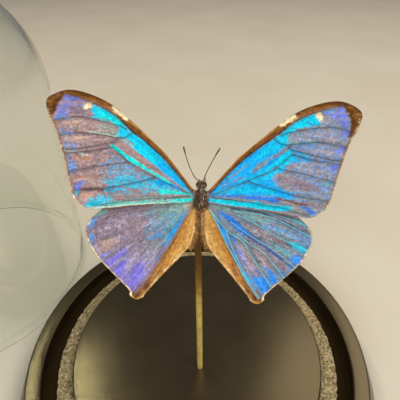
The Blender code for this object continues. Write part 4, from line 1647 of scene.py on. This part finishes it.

# Painted reflection: the blue and cyan zones lay the iridescent light that the right hindwing reflected in
# as colour, so they differ from the left hindwing's.
HINDWING_RIGHT = (
    Patch(Tone.SEA, ((2, -3), (12, -3.6), (20, -6), (19, -8.6), (13, -6.8), (7, -5)), 1, 0.8, 0.7),
    Patch(Tone.BRUISE, ((6, -3.4), (20, -5.4), (29, -9.5), (30, -14), (24, -20.5), (17, -24), (9, -13)),
        1.2, 1, 0.6, density=0.42),
    Patch(Tone.TEAL, ((8, -4), (20, -6.4), (29, -10.5), (29, -13.5), (20, -10.5), (10, -6.6)), 1.2, 1,
        0.8, density=0.42),
    Band(Tone.GRAPHITE, ((7, -3.4), (14, -4.1), (19, -5.2), (24, -7.2), (30.6, -10.4)), 0.4, 0.4, 0.9,
        (0.2, 0.4)),
    Band(Tone.LILAC, ((19, -5.1), (24, -6.6), (29, -9)), 0.2, 0.3, 0.8, (0.1, 0.15)),
    Band(Tone.TEAL, ((26.4, -6.2), (29.6, -7.6)), 0.35, 0.4, 1, (0.4, 0.4)),
    Band(Tone.BLUE, ((18, -8.4), (24, -9.6), (30.4, -12.2)), 1.2, 1, 0.9, (0.9, 1.3), density=0.6),
    Patch(Tone.PLUM, ((13, -8), (19, -9.8), (24.4, -12.8), (22, -13.8), (16, -11.4)), 0.5, 0.5, 0.8),
    Patch(Tone.MAUVE, ((8.4, -14), (11, -14), (14, -18.4), (17.6, -23.4), (14, -24), (11, -19.5)), 0.6,
        0.5, 0.8),
    Patch(Tone.MAUVE, ((12.6, -13.6), (16.6, -15.6), (20.4, -20), (19, -21.6), (16, -18.8)), 0.5, 0.5,
        0.8),
    Patch(Tone.PLUM, ((18, -16), (22, -18.5), (25, -20.7), (23.5, -21.8), (20.4, -18.6)), 0.4, 0.5),
    Band(Tone.LILAC, ((10.4, -16.4), (13.6, -21.2)), 0.7, 1, 0.8, (0.4, 0.5)),
    Band(Tone.LILAC, ((15, -17), (18.6, -20.6)), 0.6, 1, 0.8, (0.4, 0.4)),
    Band(Tone.ROYAL, ((9.6, -15.4), (12.4, -20.4)), 0.7, 1, 0.7, (0.3, 0.4)),
    Band(Tone.TEAL, ((19.6, -13.6), (25, -16.6)), 0.4, 0.5, 0.8, (0.5, 0.6)),
    Patch(Tone.FROST, ((6, -3.4), (20, -5.4), (29, -9.5), (28, -16), (20, -23), (13, -22), (9, -13)), 1.2,
        1, 0.35, density=0.28),
    Band(Tone.NAVY, ((11.6, -10.6), (16, -13.3), (20, -16), (22.6, -18.2)), 0.35, 0.3, 1, (0.8, 0.5)),
    Patch(Tone.ROYAL, ((3.6, -4.8), (7, -5.7), (10, -8.2), (12.8, -11), (12, -11.7), (9, -9.9),
        (6, -7.4)), 0.35, 0.25),
    Patch(Tone.AZURE, ((0.6, -4.2), (3.6, -8), (6, -10.8), (7.4, -14.3), (9.2, -18.4), (10.8, -21),
        (14.6, -25.4), (16.2, -28.8), (14.2, -27.6), (11.6, -23.8), (9, -19.6), (6, -14.6), (3, -9.2)),
        0.25, 0.2),
    Band(Tone.ROYAL, ((3.4, -8), (6.2, -12.4), (8.6, -17)), 0.4, 0.3, 0.7, (0.3, 0.4)),
    Band(Tone.ROYAL, ((7.8, -11.8), (8.6, -13.6)), 0.4, 0.4, 0.9, (0.5, 0.5)),
    Band(Tone.LOW_BLUE, ((4, -5.2), (8, -7.8), (12, -11)), 1, 1, 0.9, (0.9, 0.7), density=0.5),
    Patch(Tone.LOW_BLUE, ((12.6, -22), (16, -21), (20, -22), (24, -20), (28.4, -15.6), (29, -18.6),
        (23, -23.8), (17, -28.6)), 1.6, 1, 0.9, density=0.42),
    Band(Tone.CYAN, ((9.8, -20.8), (12.8, -24.6)), 0.5, 0.4, 0.8, (0.4, 0.6)),
    Patch(Tone.LOW_BLUE, ((14.2, -23.8), (16.6, -23.6), (19.4, -25), (19.9, -26.6), (17, -28.8),
        (15.4, -26.4)), 0.5, 0.3),
    Patch(Tone.LOW_BLUE, ((18.4, -20.8), (20.2, -21.8), (21.8, -24.8), (20.2, -25.2)), 0.5, 0.4),
    Band(Tone.LOW_BLUE, ((21.4, -20.8), (23.8, -22.4)), 0.3, 0.4, 0.8, (0.3, 0.4)),
    Patch(Tone.LOW_BLUE, ((25.4, -17.2), (28.6, -16.8), (28.4, -19), (26.6, -20.4)), 0.5, 0.4),
    Patch(Tone.CYAN, ((23.6, -12.6), (27, -13), (30.2, -15), (29.6, -15.8), (26, -14.4)), 0.25, 0.3),
    Band(Tone.TURQUOISE, ((0.2, -4.2), (3.1, -9.1), (6, -14.6), (9, -19.6), (12, -24.2), (15.2, -28)),
        0.15, 0.15, 0.9, (0.15, 0.22)),
)

UNDER_FOREWING = (
    Band(Tone.CHESTNUT, ((4, 1), (18, 8), (26, 12)), 2, 0.7, 1, (1.5, 3)),
    Band(Tone.STRAW, ((12, 13), (15, 8), (15.5, 3)), 0.4, 0.5, 1, (0.4, 0.4)),
    Band(Tone.STRAW, ((22, 22), (26.5, 15), (25, 4), (24, -3)), 0.4, 0.5, 1, (0.5, 0.4)),
    Band(Tone.STRAW, ((37, 28), (38, 18), (33.5, 4), (31, -4)), 0.4, 0.5, 1, (0.35, 0.35)),
    *eye_spot(((30.4, 15.2), (30.6, 15)), (1.9, 1.3, 0.8, 0.25)),
)

UNDER_HINDWING = (
    Band(Tone.CHESTNUT, ((3, -6), (14, -12), (22, -14)), 2, 0.7, 1, (2, 3)),
    Band(Tone.STRAW, ((12, -1), (11, -9), (4, -13)), 0.4, 0.5, 1, (0.4, 0.4)),
    Band(Tone.STRAW, ((29, -9), (25.5, -18), (15.5, -27)), 0.4, 0.5, 1, (0.4, 0.4)),
    *eye_spot(((20.4, -11.2), (20.6, -11.4)), (1.8, 1.2, 0.7)),
    *eye_spot(((15.4, -19.2), (15.6, -19.4)), (1.4, 0.9, 0.5)),
)


@dataclass
class Wing:
    """One wing: a thin scaled sheet, its raised veins and the fringe along its margin."""

    plan: WingPlan
    side: Side
    attitude: Matrix
    ground: Tone
    zones: tuple[ScaleZone, ...]
    under: tuple[ScaleZone, ...]
    vein_colour_and_highlight: Tone
    vein_share: float
    seed: int
    root: float = 2.25
    thickness: float = 0.14
    vein_radius: float = 0.11
    vein_taper: Point = (1.15, 0.55)
    vein_shade: float = 0.26
    vein_shade_width: float = 0.8
    vein_line: float = 0.7
    vein_line_width: float = 0.16
    ridge: float = 0.1
    ridge_width: float = 0.4
    crumple: float = 0.22
    fringe: int = 420
    fringe_radius: float = 0.05
    fold_hairs: int = 420
    fold_hair_radius: float = 0.08

    @property
    def name(self) -> str:
        """The wing's node in the CAD model."""
        return f"{self.plan.name}_{self.side.word}"

    def build(self) -> None:
        """Make the sheet, the veins and the fringe."""
        self.lay_sheet()
        self.raise_veins()
        self.fray_margin()
        if self.plan is HINDWING:
            self.cover_fold()

    def place(self, x: Array, y: Array, z: Array) -> Array:
        """Put places in the wing's own plane into the model's frame.

        Args:
            x: millimetres outwards from the root.
            y: millimetres towards the head.
            z: millimetres above the sheet.
        Returns:
            places in metres, one row each.
        """
        sign = self.side.value
        raised = Matrix.Rotation(math.radians(-sign * self.plan.dihedral_deg), 4, "Y")
        hinge = Matrix.Translation(Vector((sign * self.root, 0.0, self.plan.lift)) * MM)
        whole = np.array(self.attitude @ hinge @ raised)
        flat = np.stack([sign * x, y, z], axis=1) * MM
        return flat @ whole[:3, :3].T + whole[:3, 3]

    def height(self, x: Array, y: Array) -> Array:
        """Height of the sheet over its flat plane: raised at the veins and slightly crumpled.

        Args:
            x: millimetres outwards from the root.
            y: millimetres towards the head.
        Returns:
            millimetres above the plane.
        """
        ridge = self.ridge * np.exp(-(self.plan.vein_distance(x, y) / self.ridge_width) ** 2)
        shifted = x + WING_SHIFT, y + WING_SHIFT
        crumple = lattice_noise(*shifted, 6.0, self.seed + 7) - 0.5
        crumple += 0.4 * (lattice_noise(*shifted, 2.5, self.seed + 8) - 0.5)
        return ridge + crumple * self.crumple

    def tone(self, x: Array, y: Array, on_vein: float = 0.0) -> Array:
        """Colour of the upper face, the lines over the veins included; on the right hindwing these lines
        are a painted highlight.

        Args:
            x: millimetres outwards from the root.
            y: millimetres towards the head.
            on_vein: how far the vein line's tone is used whatever the place.
        Returns:
            linear red, green and blue, one row for each place.
        """
        colour = self.plan.paint(x, y, self.ground, self.zones, self.seed)
        nearest = self.plan.vein_distance(x, y)
        shadow = self.vein_shade * np.exp(-(nearest / self.vein_shade_width) ** 2)
        colour = colour * (1.0 - shadow)[:, None]
        line = self.vein_line * np.exp(-(nearest / self.vein_line_width) ** 2)
        line = np.maximum(line, on_vein)[:, None] * self.vein_share
        return colour + (self.vein_colour_and_highlight.light - colour) * line

    def mark_places(self, piece: Piece, x: Array, y: Array) -> None:
        """Store where each vertex lies on the wing, for the pattern of single scales."""
        places = np.stack([x + WING_SHIFT, y + WING_SHIFT, np.zeros(len(x))], axis=1)
        mark_points(piece, "wing_place", places)

    def margin(self, count: int) -> Array:
        """Even points along the wing's free edge, from the front round to the back."""
        return even_line(smooth_line(self.plan.outline[1:-1], 12), count)

    def lay_sheet(self) -> None:
        """Stretch a grid from the root to the margin, paint it and give it its thickness."""
        plan = self.plan
        deselect()
        bpy.ops.mesh.primitive_grid_add(x_subdivisions=plan.steps, y_subdivisions=plan.rays, size=2.0)
        sheet = started(f"{self.name}_sheet")
        grid = points_of(sheet)
        out = (grid[:, 0] + 1.0) / 2.0
        turn_round = (1.0 - self.side.value * grid[:, 1]) / 2.0
        edge = self.margin(plan.rays + 1)
        index = np.rint(turn_round * plan.rays).astype(int)
        front, back = np.array(plan.outline[0]), np.array(plan.outline[-1])
        start = front + (back - front) * turn_round[:, None]
        flat = start + (edge[index] - start) * out[:, None]
        x, y = flat[:, 0], flat[:, 1]
        move_points(sheet, self.place(x, y, self.height(x, y) + self.thickness / 2))
        paint_points(sheet, "scale_tone", self.tone(x, y))
        paint_points(sheet, "under_tone", plan.paint(x, y, Tone.COCOA, self.under, self.seed + 40))
        self.mark_places(sheet, x, y)
        sheet.data.materials.append(UPPER_SCALES.material())
        sheet.data.materials.append(UNDER_SCALES.material())
        apply_modifier(sheet, "SOLIDIFY", thickness=self.thickness * MM, offset=-1.0,
                       material_offset=1, material_offset_rim=1)
        shade(sheet, 60.0)
        settle(sheet, UPPER_SCALES, "specimen", [self.name])

    def raise_veins(self) -> None:
        """Raise the veins as thin tubes that taper towards the margin."""
        routes = []
        for vein in self.plan.veins:
            route = smooth_line(vein, 4)
            heights = self.height(route[:, 0], route[:, 1]) + self.thickness / 2
            taper = np.linspace(*self.vein_taper, len(route))
            routes.append(np.column_stack([route * MM, heights * MM, taper]))
        veins = draw_tubes(f"{self.name}_veins", routes, self.vein_radius, 1)
        flat = points_of(veins) / MM
        x, y = flat[:, 0], flat[:, 1]
        move_points(veins, self.place(x, y, flat[:, 2]))
        paint_points(veins, "scale_tone", self.tone(x, y, 1.0))
        self.mark_places(veins, x, y)
        veins.data.materials.clear()
        if self.side is Side.LEFT:
            with editing(veins):
                bpy.ops.mesh.select_all(action="SELECT")
                bpy.ops.mesh.flip_normals()
        shade(veins, 60.0)
        settle(veins, UPPER_SCALES, "specimen")

    def fray_margin(self) -> None:
        """A fringe of fine pale and brown scales along the outer margin."""
        rng = np.random.default_rng(self.seed + 20)
        edge = self.margin(self.fringe)
        along = np.gradient(edge, axis=0)
        outwards = np.stack([along[:, 1] * -1.0, along[:, 0]], axis=1)
        outwards = unit_rows(outwards)
        along = unit_rows(along)
        outwards += along * rng.normal(0.0, 0.35, (len(edge), 1))
        root = edge - outwards * 0.15
        height = self.height(edge[:, 0], edge[:, 1])
        start = self.place(root[:, 0], root[:, 1], height)
        tip = self.place(root[:, 0] + outwards[:, 0], root[:, 1] + outwards[:, 1], height)
        shades = np.array([tone.light for tone in (Tone.STRAW, Tone.COCOA, Tone.BARK)])
        pick = rng.choice(3, len(edge), p=(0.5, 0.3, 0.2))
        tuft = Tuft(f"{self.name}_fringe", start / MM, tip - start, rng.uniform(0.2, 0.45, len(edge)),
                    rng.normal(0.0, 0.08, (len(edge), 3)), shades[pick], self.fringe_radius)
        settle(tuft.grow(), HAIR, "specimen")

    def cover_fold(self) -> None:
        """Long tan hair along a hindwing's inner fold, combed towards the body and the rod."""
        rng = np.random.default_rng(self.seed + 30)
        inner = even_line(smooth_line(FOLD_EDGE, 6), self.fold_hairs)
        x = inner[:, 0] + rng.uniform(-0.1, 0.8, self.fold_hairs)
        y = inner[:, 1] + rng.normal(0.0, 0.2, self.fold_hairs)
        height = self.height(x, y)
        start = self.place(x, y, height)
        back = y - rng.uniform(0.3, 1.4, self.fold_hairs)
        tip = self.place(x - 1.0, back, height + rng.normal(-0.1, 0.2, self.fold_hairs))
        shades = np.array([tone.light for tone in (Tone.GOLD, Tone.TAN, Tone.COCOA, Tone.CHESTNUT)])
        pick = rng.choice(4, self.fold_hairs, p=(0.3, 0.3, 0.25, 0.15))
        tuft = Tuft(f"{self.name}_fold_hair", start / MM, tip - start,
                    rng.uniform(0.8, 2.0, self.fold_hairs),
                    rng.normal(0.0, 0.08, (self.fold_hairs, 3)), shades[pick], self.fold_hair_radius)
        settle(tuft.grow(), HAIR, "specimen")


def hair_tones(rng: np.random.Generator, picks: Array) -> Array:
    """Colours of body hair, each hair a little lighter or darker.

    Args:
        rng: the source of the variation.
        picks: 0 for grey, 1 for brown, 2 for dark, 3 for rust and 4 for cream.
    Returns:
        linear red, green and blue, one row for each hair.
    """
    kinds = (Tone.HAIR_GREY, Tone.HAIR_BROWN, Tone.HAIR_DARK, Tone.HAIR_RUST, Tone.CREAM)
    shades = np.array([tone.light for tone in kinds])
    return shades[picks] * rng.uniform(0.7, 1.3, (len(picks), 1))


@dataclass
class Butterfly:
    """The mounted specimen: four wings, the hairy body, the head and the feelers."""

    face_up_deg: float = 38.0
    yaw_deg: float = 1.0
    roll_deg: float = -3.55
    thorax_half: tuple[float, float, float] = (1.75, 3.1, 2.6)
    thorax_back: float = 0.9
    head_half: tuple[float, float, float] = (1.3, 0.75, 1.1)
    head_centre: float = 3.25
    eye_radius: float = 0.65
    eye_out: float = 1.1
    palp_half: tuple[float, float, float] = (0.3, 0.4, 0.3)
    face_front: float = 4.3
    feeler_radius: float = 0.15
    feeler_club: float = 1.7
    feeler_spacing: float = 1.1
    feeler_rise: float = 0.35
    feeler_reach: tuple[float, float] = (5.5, 4.8)
    feeler_bow: tuple[float, float] = (0.55, 1.25)
    feeler_length: float = 10.4
    feeler_points: int = 96
    ring_dip: float = 0.85
    club_from: float = 0.72
    club_run: float = 0.16
    tip_run: float = 0.035
    tip_taper: float = 0.8
    back_hairs: int = 1500
    head_hairs: int = 520
    palp_hairs: int = 150
    root_hairs: int = 420

    def build(self) -> None:
        """Make every piece of the specimen."""
        attitude = self.attitude()
        for wing in self.wings(attitude):
            wing.build()
        self.build_thorax(attitude)
        self.build_head(attitude)
        for side in Side:
            self.bend_feeler(attitude, side)

    def wings(self, attitude: Matrix) -> list[Wing]:
        """The four wings, each painted with the iridescent reflection that it showed, so that left and
        right differ.

        Args:
            attitude: the specimen's own frame.
        Returns:
            the wings, ready to build.
        """
        fore_left = FOREWING_LEFT + FOREWING_EDGES + CREAM_DOT_LEFT
        fore_right = FOREWING_RIGHT + FOREWING_EDGES + CREAM_DOT_RIGHT
        hind_left = HINDWING_LEFT + HINDWING_EDGES
        hind_right = HINDWING_RIGHT + HINDWING_EDGES
        return [
            Wing(FOREWING, Side.LEFT, attitude, Tone.MAUVE, fore_left, UNDER_FOREWING,
                 Tone.DEEP_TEAL, 0.5, 100),
            Wing(FOREWING, Side.RIGHT, attitude, Tone.SLATE, fore_right, UNDER_FOREWING,
                 Tone.DEEP_TEAL, 0.55, 200),
            Wing(HINDWING, Side.LEFT, attitude, Tone.PLUM, hind_left, UNDER_HINDWING,
                 Tone.LILAC, 0.4, 300),
            # ICE veins: a painted highlight along the vein ridges.
            Wing(HINDWING, Side.RIGHT, attitude, Tone.STEEL, hind_right, UNDER_HINDWING,
                 Tone.ICE, 0.75, 400),
        ]

    def attitude(self) -> Matrix:
        """Where the thorax is and how the specimen is tilted.

        Returns:
            the matrix from the specimen's own axes to the model's frame.
        """
        low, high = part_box("thorax")
        tilt = Matrix.Rotation(math.radians(90.0 - self.face_up_deg), 4, "X")
        yaw = Matrix.Rotation(math.radians(self.yaw_deg), 4, "Z")
        roll = Matrix.Rotation(math.radians(self.roll_deg), 4, "Z")
        back = Matrix.Translation((0.0, self.thorax_back * MM, 0.0))
        return Matrix.Translation((low + high) / 2) @ yaw @ tilt @ roll @ back

    def lump(self, name: str, half: Sequence[float], centre: Sequence[float], attitude: Matrix,
             rough: float, seed: int, rings: int = 32) -> Piece:
        """A rounded body part with an uneven surface.

        Args:
            name: the piece's name.
            half: half its width, length and depth.
            centre: its middle in the specimen's axes.
            attitude: the specimen's own frame.
            rough: how far its surface rises and falls, as a share of its size.
            seed: seed of the unevenness.
            rings: how finely it is divided.
        Returns:
            the new piece.
        """
        deselect()
        bpy.ops.mesh.primitive_uv_sphere_add(segments=rings * 3 // 2, ring_count=rings, radius=1.0)
        piece = started(name)
        ball = points_of(piece)
        across, along, depth = ball.T
        column, row = across * 2 + depth * 1.3 + BODY_SHIFT, along * 2 + depth + BODY_SHIFT
        noise = lattice_noise(column, row, 0.55, seed) - 0.5
        shaped = ball * (1.0 + noise * rough)[:, None] * np.array(half) + np.array(centre)
        whole = np.array(attitude)
        move_points(piece, shaped * MM @ whole[:3, :3].T + whole[:3, 3])
        shade(piece, 70.0)
        return piece

    def coat(self, name: str, roots: Array, aims: Array, tones: Array, lengths: Point,
             attitude: Matrix, rng: np.random.Generator, radius: float = 0.06) -> None:
        """A coat of hair rooted in the specimen's own axes.

        Args:
            name: the piece's name.
            roots: where each hair is rooted.
            aims: where each hair points.
            tones: linear red, green and blue of each hair.
            lengths: the shortest and the longest hair.
            attitude: the specimen's own frame.
            rng: the source of the lengths and the curls.
            radius: half a hair's thickness at its root.
        """
        count = len(roots)
        turn_out = np.array(attitude)[:3, :3]
        tuft = Tuft(name, roots @ turn_out.T + np.array(attitude)[:3, 3] / MM, aims @ turn_out.T,
                    rng.uniform(*lengths, count), rng.normal(0.0, 0.15, (count, 3)), tones, radius)
        settle(tuft.grow(), HAIR, "specimen")

    def build_thorax(self, attitude: Matrix) -> None:
        """The thorax, its coat of hair with a grey stripe, and the brown hair over the wing roots."""
        centre = np.array((0.0, -self.thorax_back, 0.0))
        half = np.array(self.thorax_half)
        thorax = self.lump("thorax_skin", self.thorax_half, centre, attitude, 0.16, 51)
        settle(thorax, SKIN, "specimen", ["thorax"])
        rng = np.random.default_rng(52)
        facing = rng.normal(size=(self.back_hairs, 3))
        facing = unit_rows(facing)
        normals = facing / half
        normals = unit_rows(normals)
        combed = np.where(facing[:, 1:2] > 0.55, (0.0, 0.9, 0.0), (0.0, -0.9, 0.0))
        aims = normals * 0.25 + combed + rng.normal(0.0, 0.2, (self.back_hairs, 3))
        stripe = np.exp(-((facing[:, 0] - 0.12) / 0.36) ** 2) * (facing[:, 2] > 0.1)
        clump = lattice_noise(facing[:, 0] * 3 + BODY_SHIFT, facing[:, 1] * 3 + BODY_SHIFT, 0.5, 53)
        grey = rng.random(self.back_hairs) < 0.03 + 1.1 * stripe * clump
        tones = hair_tones(rng, np.where(grey, 0, rng.integers(1, 3, self.back_hairs)))
        self.coat("thorax_hair", facing * half * 0.97 + centre, aims, tones, (0.3, 0.7), attitude, rng)
        side = rng.choice((-1.0, 1.0), self.root_hairs)
        along = rng.uniform(-3.4, 1.4, self.root_hairs)
        roots = np.stack([side * rng.uniform(1.2, 1.7, self.root_hairs), along,
                          rng.uniform(0.3, 1.1, self.root_hairs)], axis=1)
        aims = np.stack([side * 1.0, along * 0.35, np.full(self.root_hairs, 0.1)], axis=1)
        aims += rng.normal(0.0, 0.2, (self.root_hairs, 3))
        tones = hair_tones(rng, rng.choice((1, 2, 3), self.root_hairs, p=(0.3, 0.2, 0.5)))
        self.coat("wing_root_hair", roots, aims, tones, (0.4, 1.3), attitude, rng, 0.05)

    def build_head(self, attitude: Matrix) -> None:
        """Head, faceted eyes, the pale palps and the hair of the neck and the brow."""
        centre = np.array((0.0, self.head_centre, 0.0))
        half = np.array(self.head_half)
        head = self.lump("head_skin", self.head_half, centre, attitude, 0.12, 61, 24)
        settle(head, SKIN, "specimen", ["head"])
        for side in Side:
            eye = self.lump(f"compound_eye_{side.word}", (self.eye_radius,) * 3,
                            (side.value * self.eye_out, self.head_centre, 0.0), attitude, 0.02, 62, 20)
            settle(eye, EYE, "specimen", [f"eye_{side.word}"])
            low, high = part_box(f"palp_{side.word}")
            local = attitude.inverted() @ ((low + high) / 2) / MM
            palp = self.lump(f"scaled_palp_{side.word}", self.palp_half, local, attitude, 0.15, 63, 16)
            settle(palp, PALP, "specimen", [f"palp_{side.word}"])
        rng = np.random.default_rng(64)
        facing = rng.normal(size=(self.head_hairs, 3))
        facing[:, 2] = np.abs(facing[:, 2])
        facing = unit_rows(facing)
        combed = np.where(facing[:, 1:2] > 0.2, (0.0, 0.5, 0.1), (0.0, -0.8, 0.2))
        aims = facing * 0.7 + combed + rng.normal(0.0, 0.3, (self.head_hairs, 3))
        tones = hair_tones(rng, rng.choice(5, self.head_hairs, p=(0.12, 0.36, 0.36, 0.1, 0.06)))
        self.coat("head_hair", facing * half * 0.97 + centre, aims, tones, (0.4, 1.0), attitude, rng, 0.06)
        side = rng.choice((-1.0, 1.0), self.palp_hairs)
        roots = np.stack([side * rng.uniform(0.6, 1.2, self.palp_hairs),
                          rng.uniform(3.9, 4.9, self.palp_hairs),
                          rng.uniform(0.0, 0.5, self.palp_hairs)], axis=1)
        aims = np.stack([side * 0.3, np.full(self.palp_hairs, 1.0), np.full(self.palp_hairs, 0.3)], axis=1)
        aims += rng.normal(0.0, 0.3, (self.palp_hairs, 3))
        tones = hair_tones(rng, rng.choice(5, self.palp_hairs, p=(0.2, 0.1, 0.1, 0.05, 0.55)))
        self.coat("palp_hair", roots, aims, tones, (0.3, 0.8), attitude, rng, 0.06)

    def bend_feeler(self, attitude: Matrix, side: Side) -> None:
        """A thin ringed feeler that swells to a club at its tip.

        Args:
            attitude: the specimen's own frame.
            side: which side of the head it grows from.
        """
        name = f"ringed_antenna_{side.word}"
        reach = self.feeler_reach[0 if side is Side.LEFT else 1]
        bow = self.feeler_bow[0 if side is Side.LEFT else 1]
        rows = []
        for index in range(self.feeler_points):
            along = index / (self.feeler_points - 1)
            outwards = self.feeler_spacing / 2 + reach * along ** bow
            forwards = self.face_front + self.feeler_radius + self.feeler_length * along
            rise = self.feeler_rise * (1.0 + along)
            at = attitude @ (Vector((side.value * outwards, forwards, rise)) * MM)
            club = smooth_step((along - self.club_from) / self.club_run) * (self.feeler_club - 1.0)
            tip = smooth_step((along - 1.0) / self.tip_run + 1.0) * self.tip_taper
            rows.append((*at, (self.ring_dip if index % 3 else 1.0) + club - tip))
        feeler = draw_tubes(name, [rows], self.feeler_radius, 2)
        shade(feeler, 50.0)
        settle(feeler, FEELER, "specimen", [f"antenna_{side.word}"])


@dataclass
class Dome:
    """Blown glass dome: a straight wall, a round crown and a fire-polished bead at the rim."""

    radius: float = 60.5
    height: float = 170.0
    wall: float = 2.2
    swell: float = 0.5
    rim_length: float = 4.0
    wave: float = 0.12
    wave_pitch: Point = (31.0, 47.0)
    calm_rim: float = 6.0
    calm_run: float = 30.0
    steps: int = 192

    def build(self) -> None:
        """Turn the dome and set it where the CAD model stands it."""
        inner = self.radius - self.wall
        spring = self.height - self.radius
        bead = self.wall / 2 + self.swell
        middle = self.radius - self.wall / 2
        outside = arc((0.0, spring), self.radius, 90.0, 0.0, 36)
        inside = arc((0.0, spring), inner, 0.0, 90.0, 36)
        outside[0] = (0.0, self.height)
        inside[-1] = (0.0, spring + inner)
        straight = np.linspace(spring, self.rim_length + 4.0, 16)[1:]
        profile = [
            *outside,
            *[(self.radius, z) for z in straight],
            (self.radius + self.swell * 0.12, self.rim_length + 1.6),
            (self.radius + self.swell * 0.55, self.rim_length - 0.6),
            *arc((middle, bead), bead, 0.0, -180.0, 16),
            (inner - self.swell * 0.55, self.rim_length - 0.6),
            (inner - self.swell * 0.12, self.rim_length + 1.6),
            *[(inner, z) for z in reversed(straight)],
            *inside,
        ]
        glass = turn("blown_dome", profile, self.steps)
        places = points_of(glass) / MM
        angle = np.arctan2(places[:, 1], places[:, 0])
        up = places[:, 2]
        wave = np.sin(3 * angle + up / self.wave_pitch[0])
        wave = wave + 0.6 * np.sin(2 * angle - up / self.wave_pitch[1])
        free = smooth_step((up - self.calm_rim) / self.calm_run)
        free = free * smooth_step((self.height - up) / self.calm_run)
        places[:, :2] *= (1.0 - self.wave / self.radius * (1.0 + wave / 1.6) / 2 * free)[:, None]
        low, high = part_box("glass_dome")
        centre = (low + high) / 2
        move_points(glass, places * MM + np.array((centre.x, centre.y, 0.0)))
        shade(glass, 40.0)
        settle(glass, GLASS, "dome", ["glass_dome"])


def main() -> None:
    """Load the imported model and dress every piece."""
    logging.basicConfig(level=logging.INFO, format="%(message)s")
    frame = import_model()
    LOG.info("loaded %d CAD nodes", len(frame["nodes"]))
    for part in (Stage(), Base(), Rod(), Butterfly(), Dome()):
        part.build()


if __name__ == "__main__":
    main()
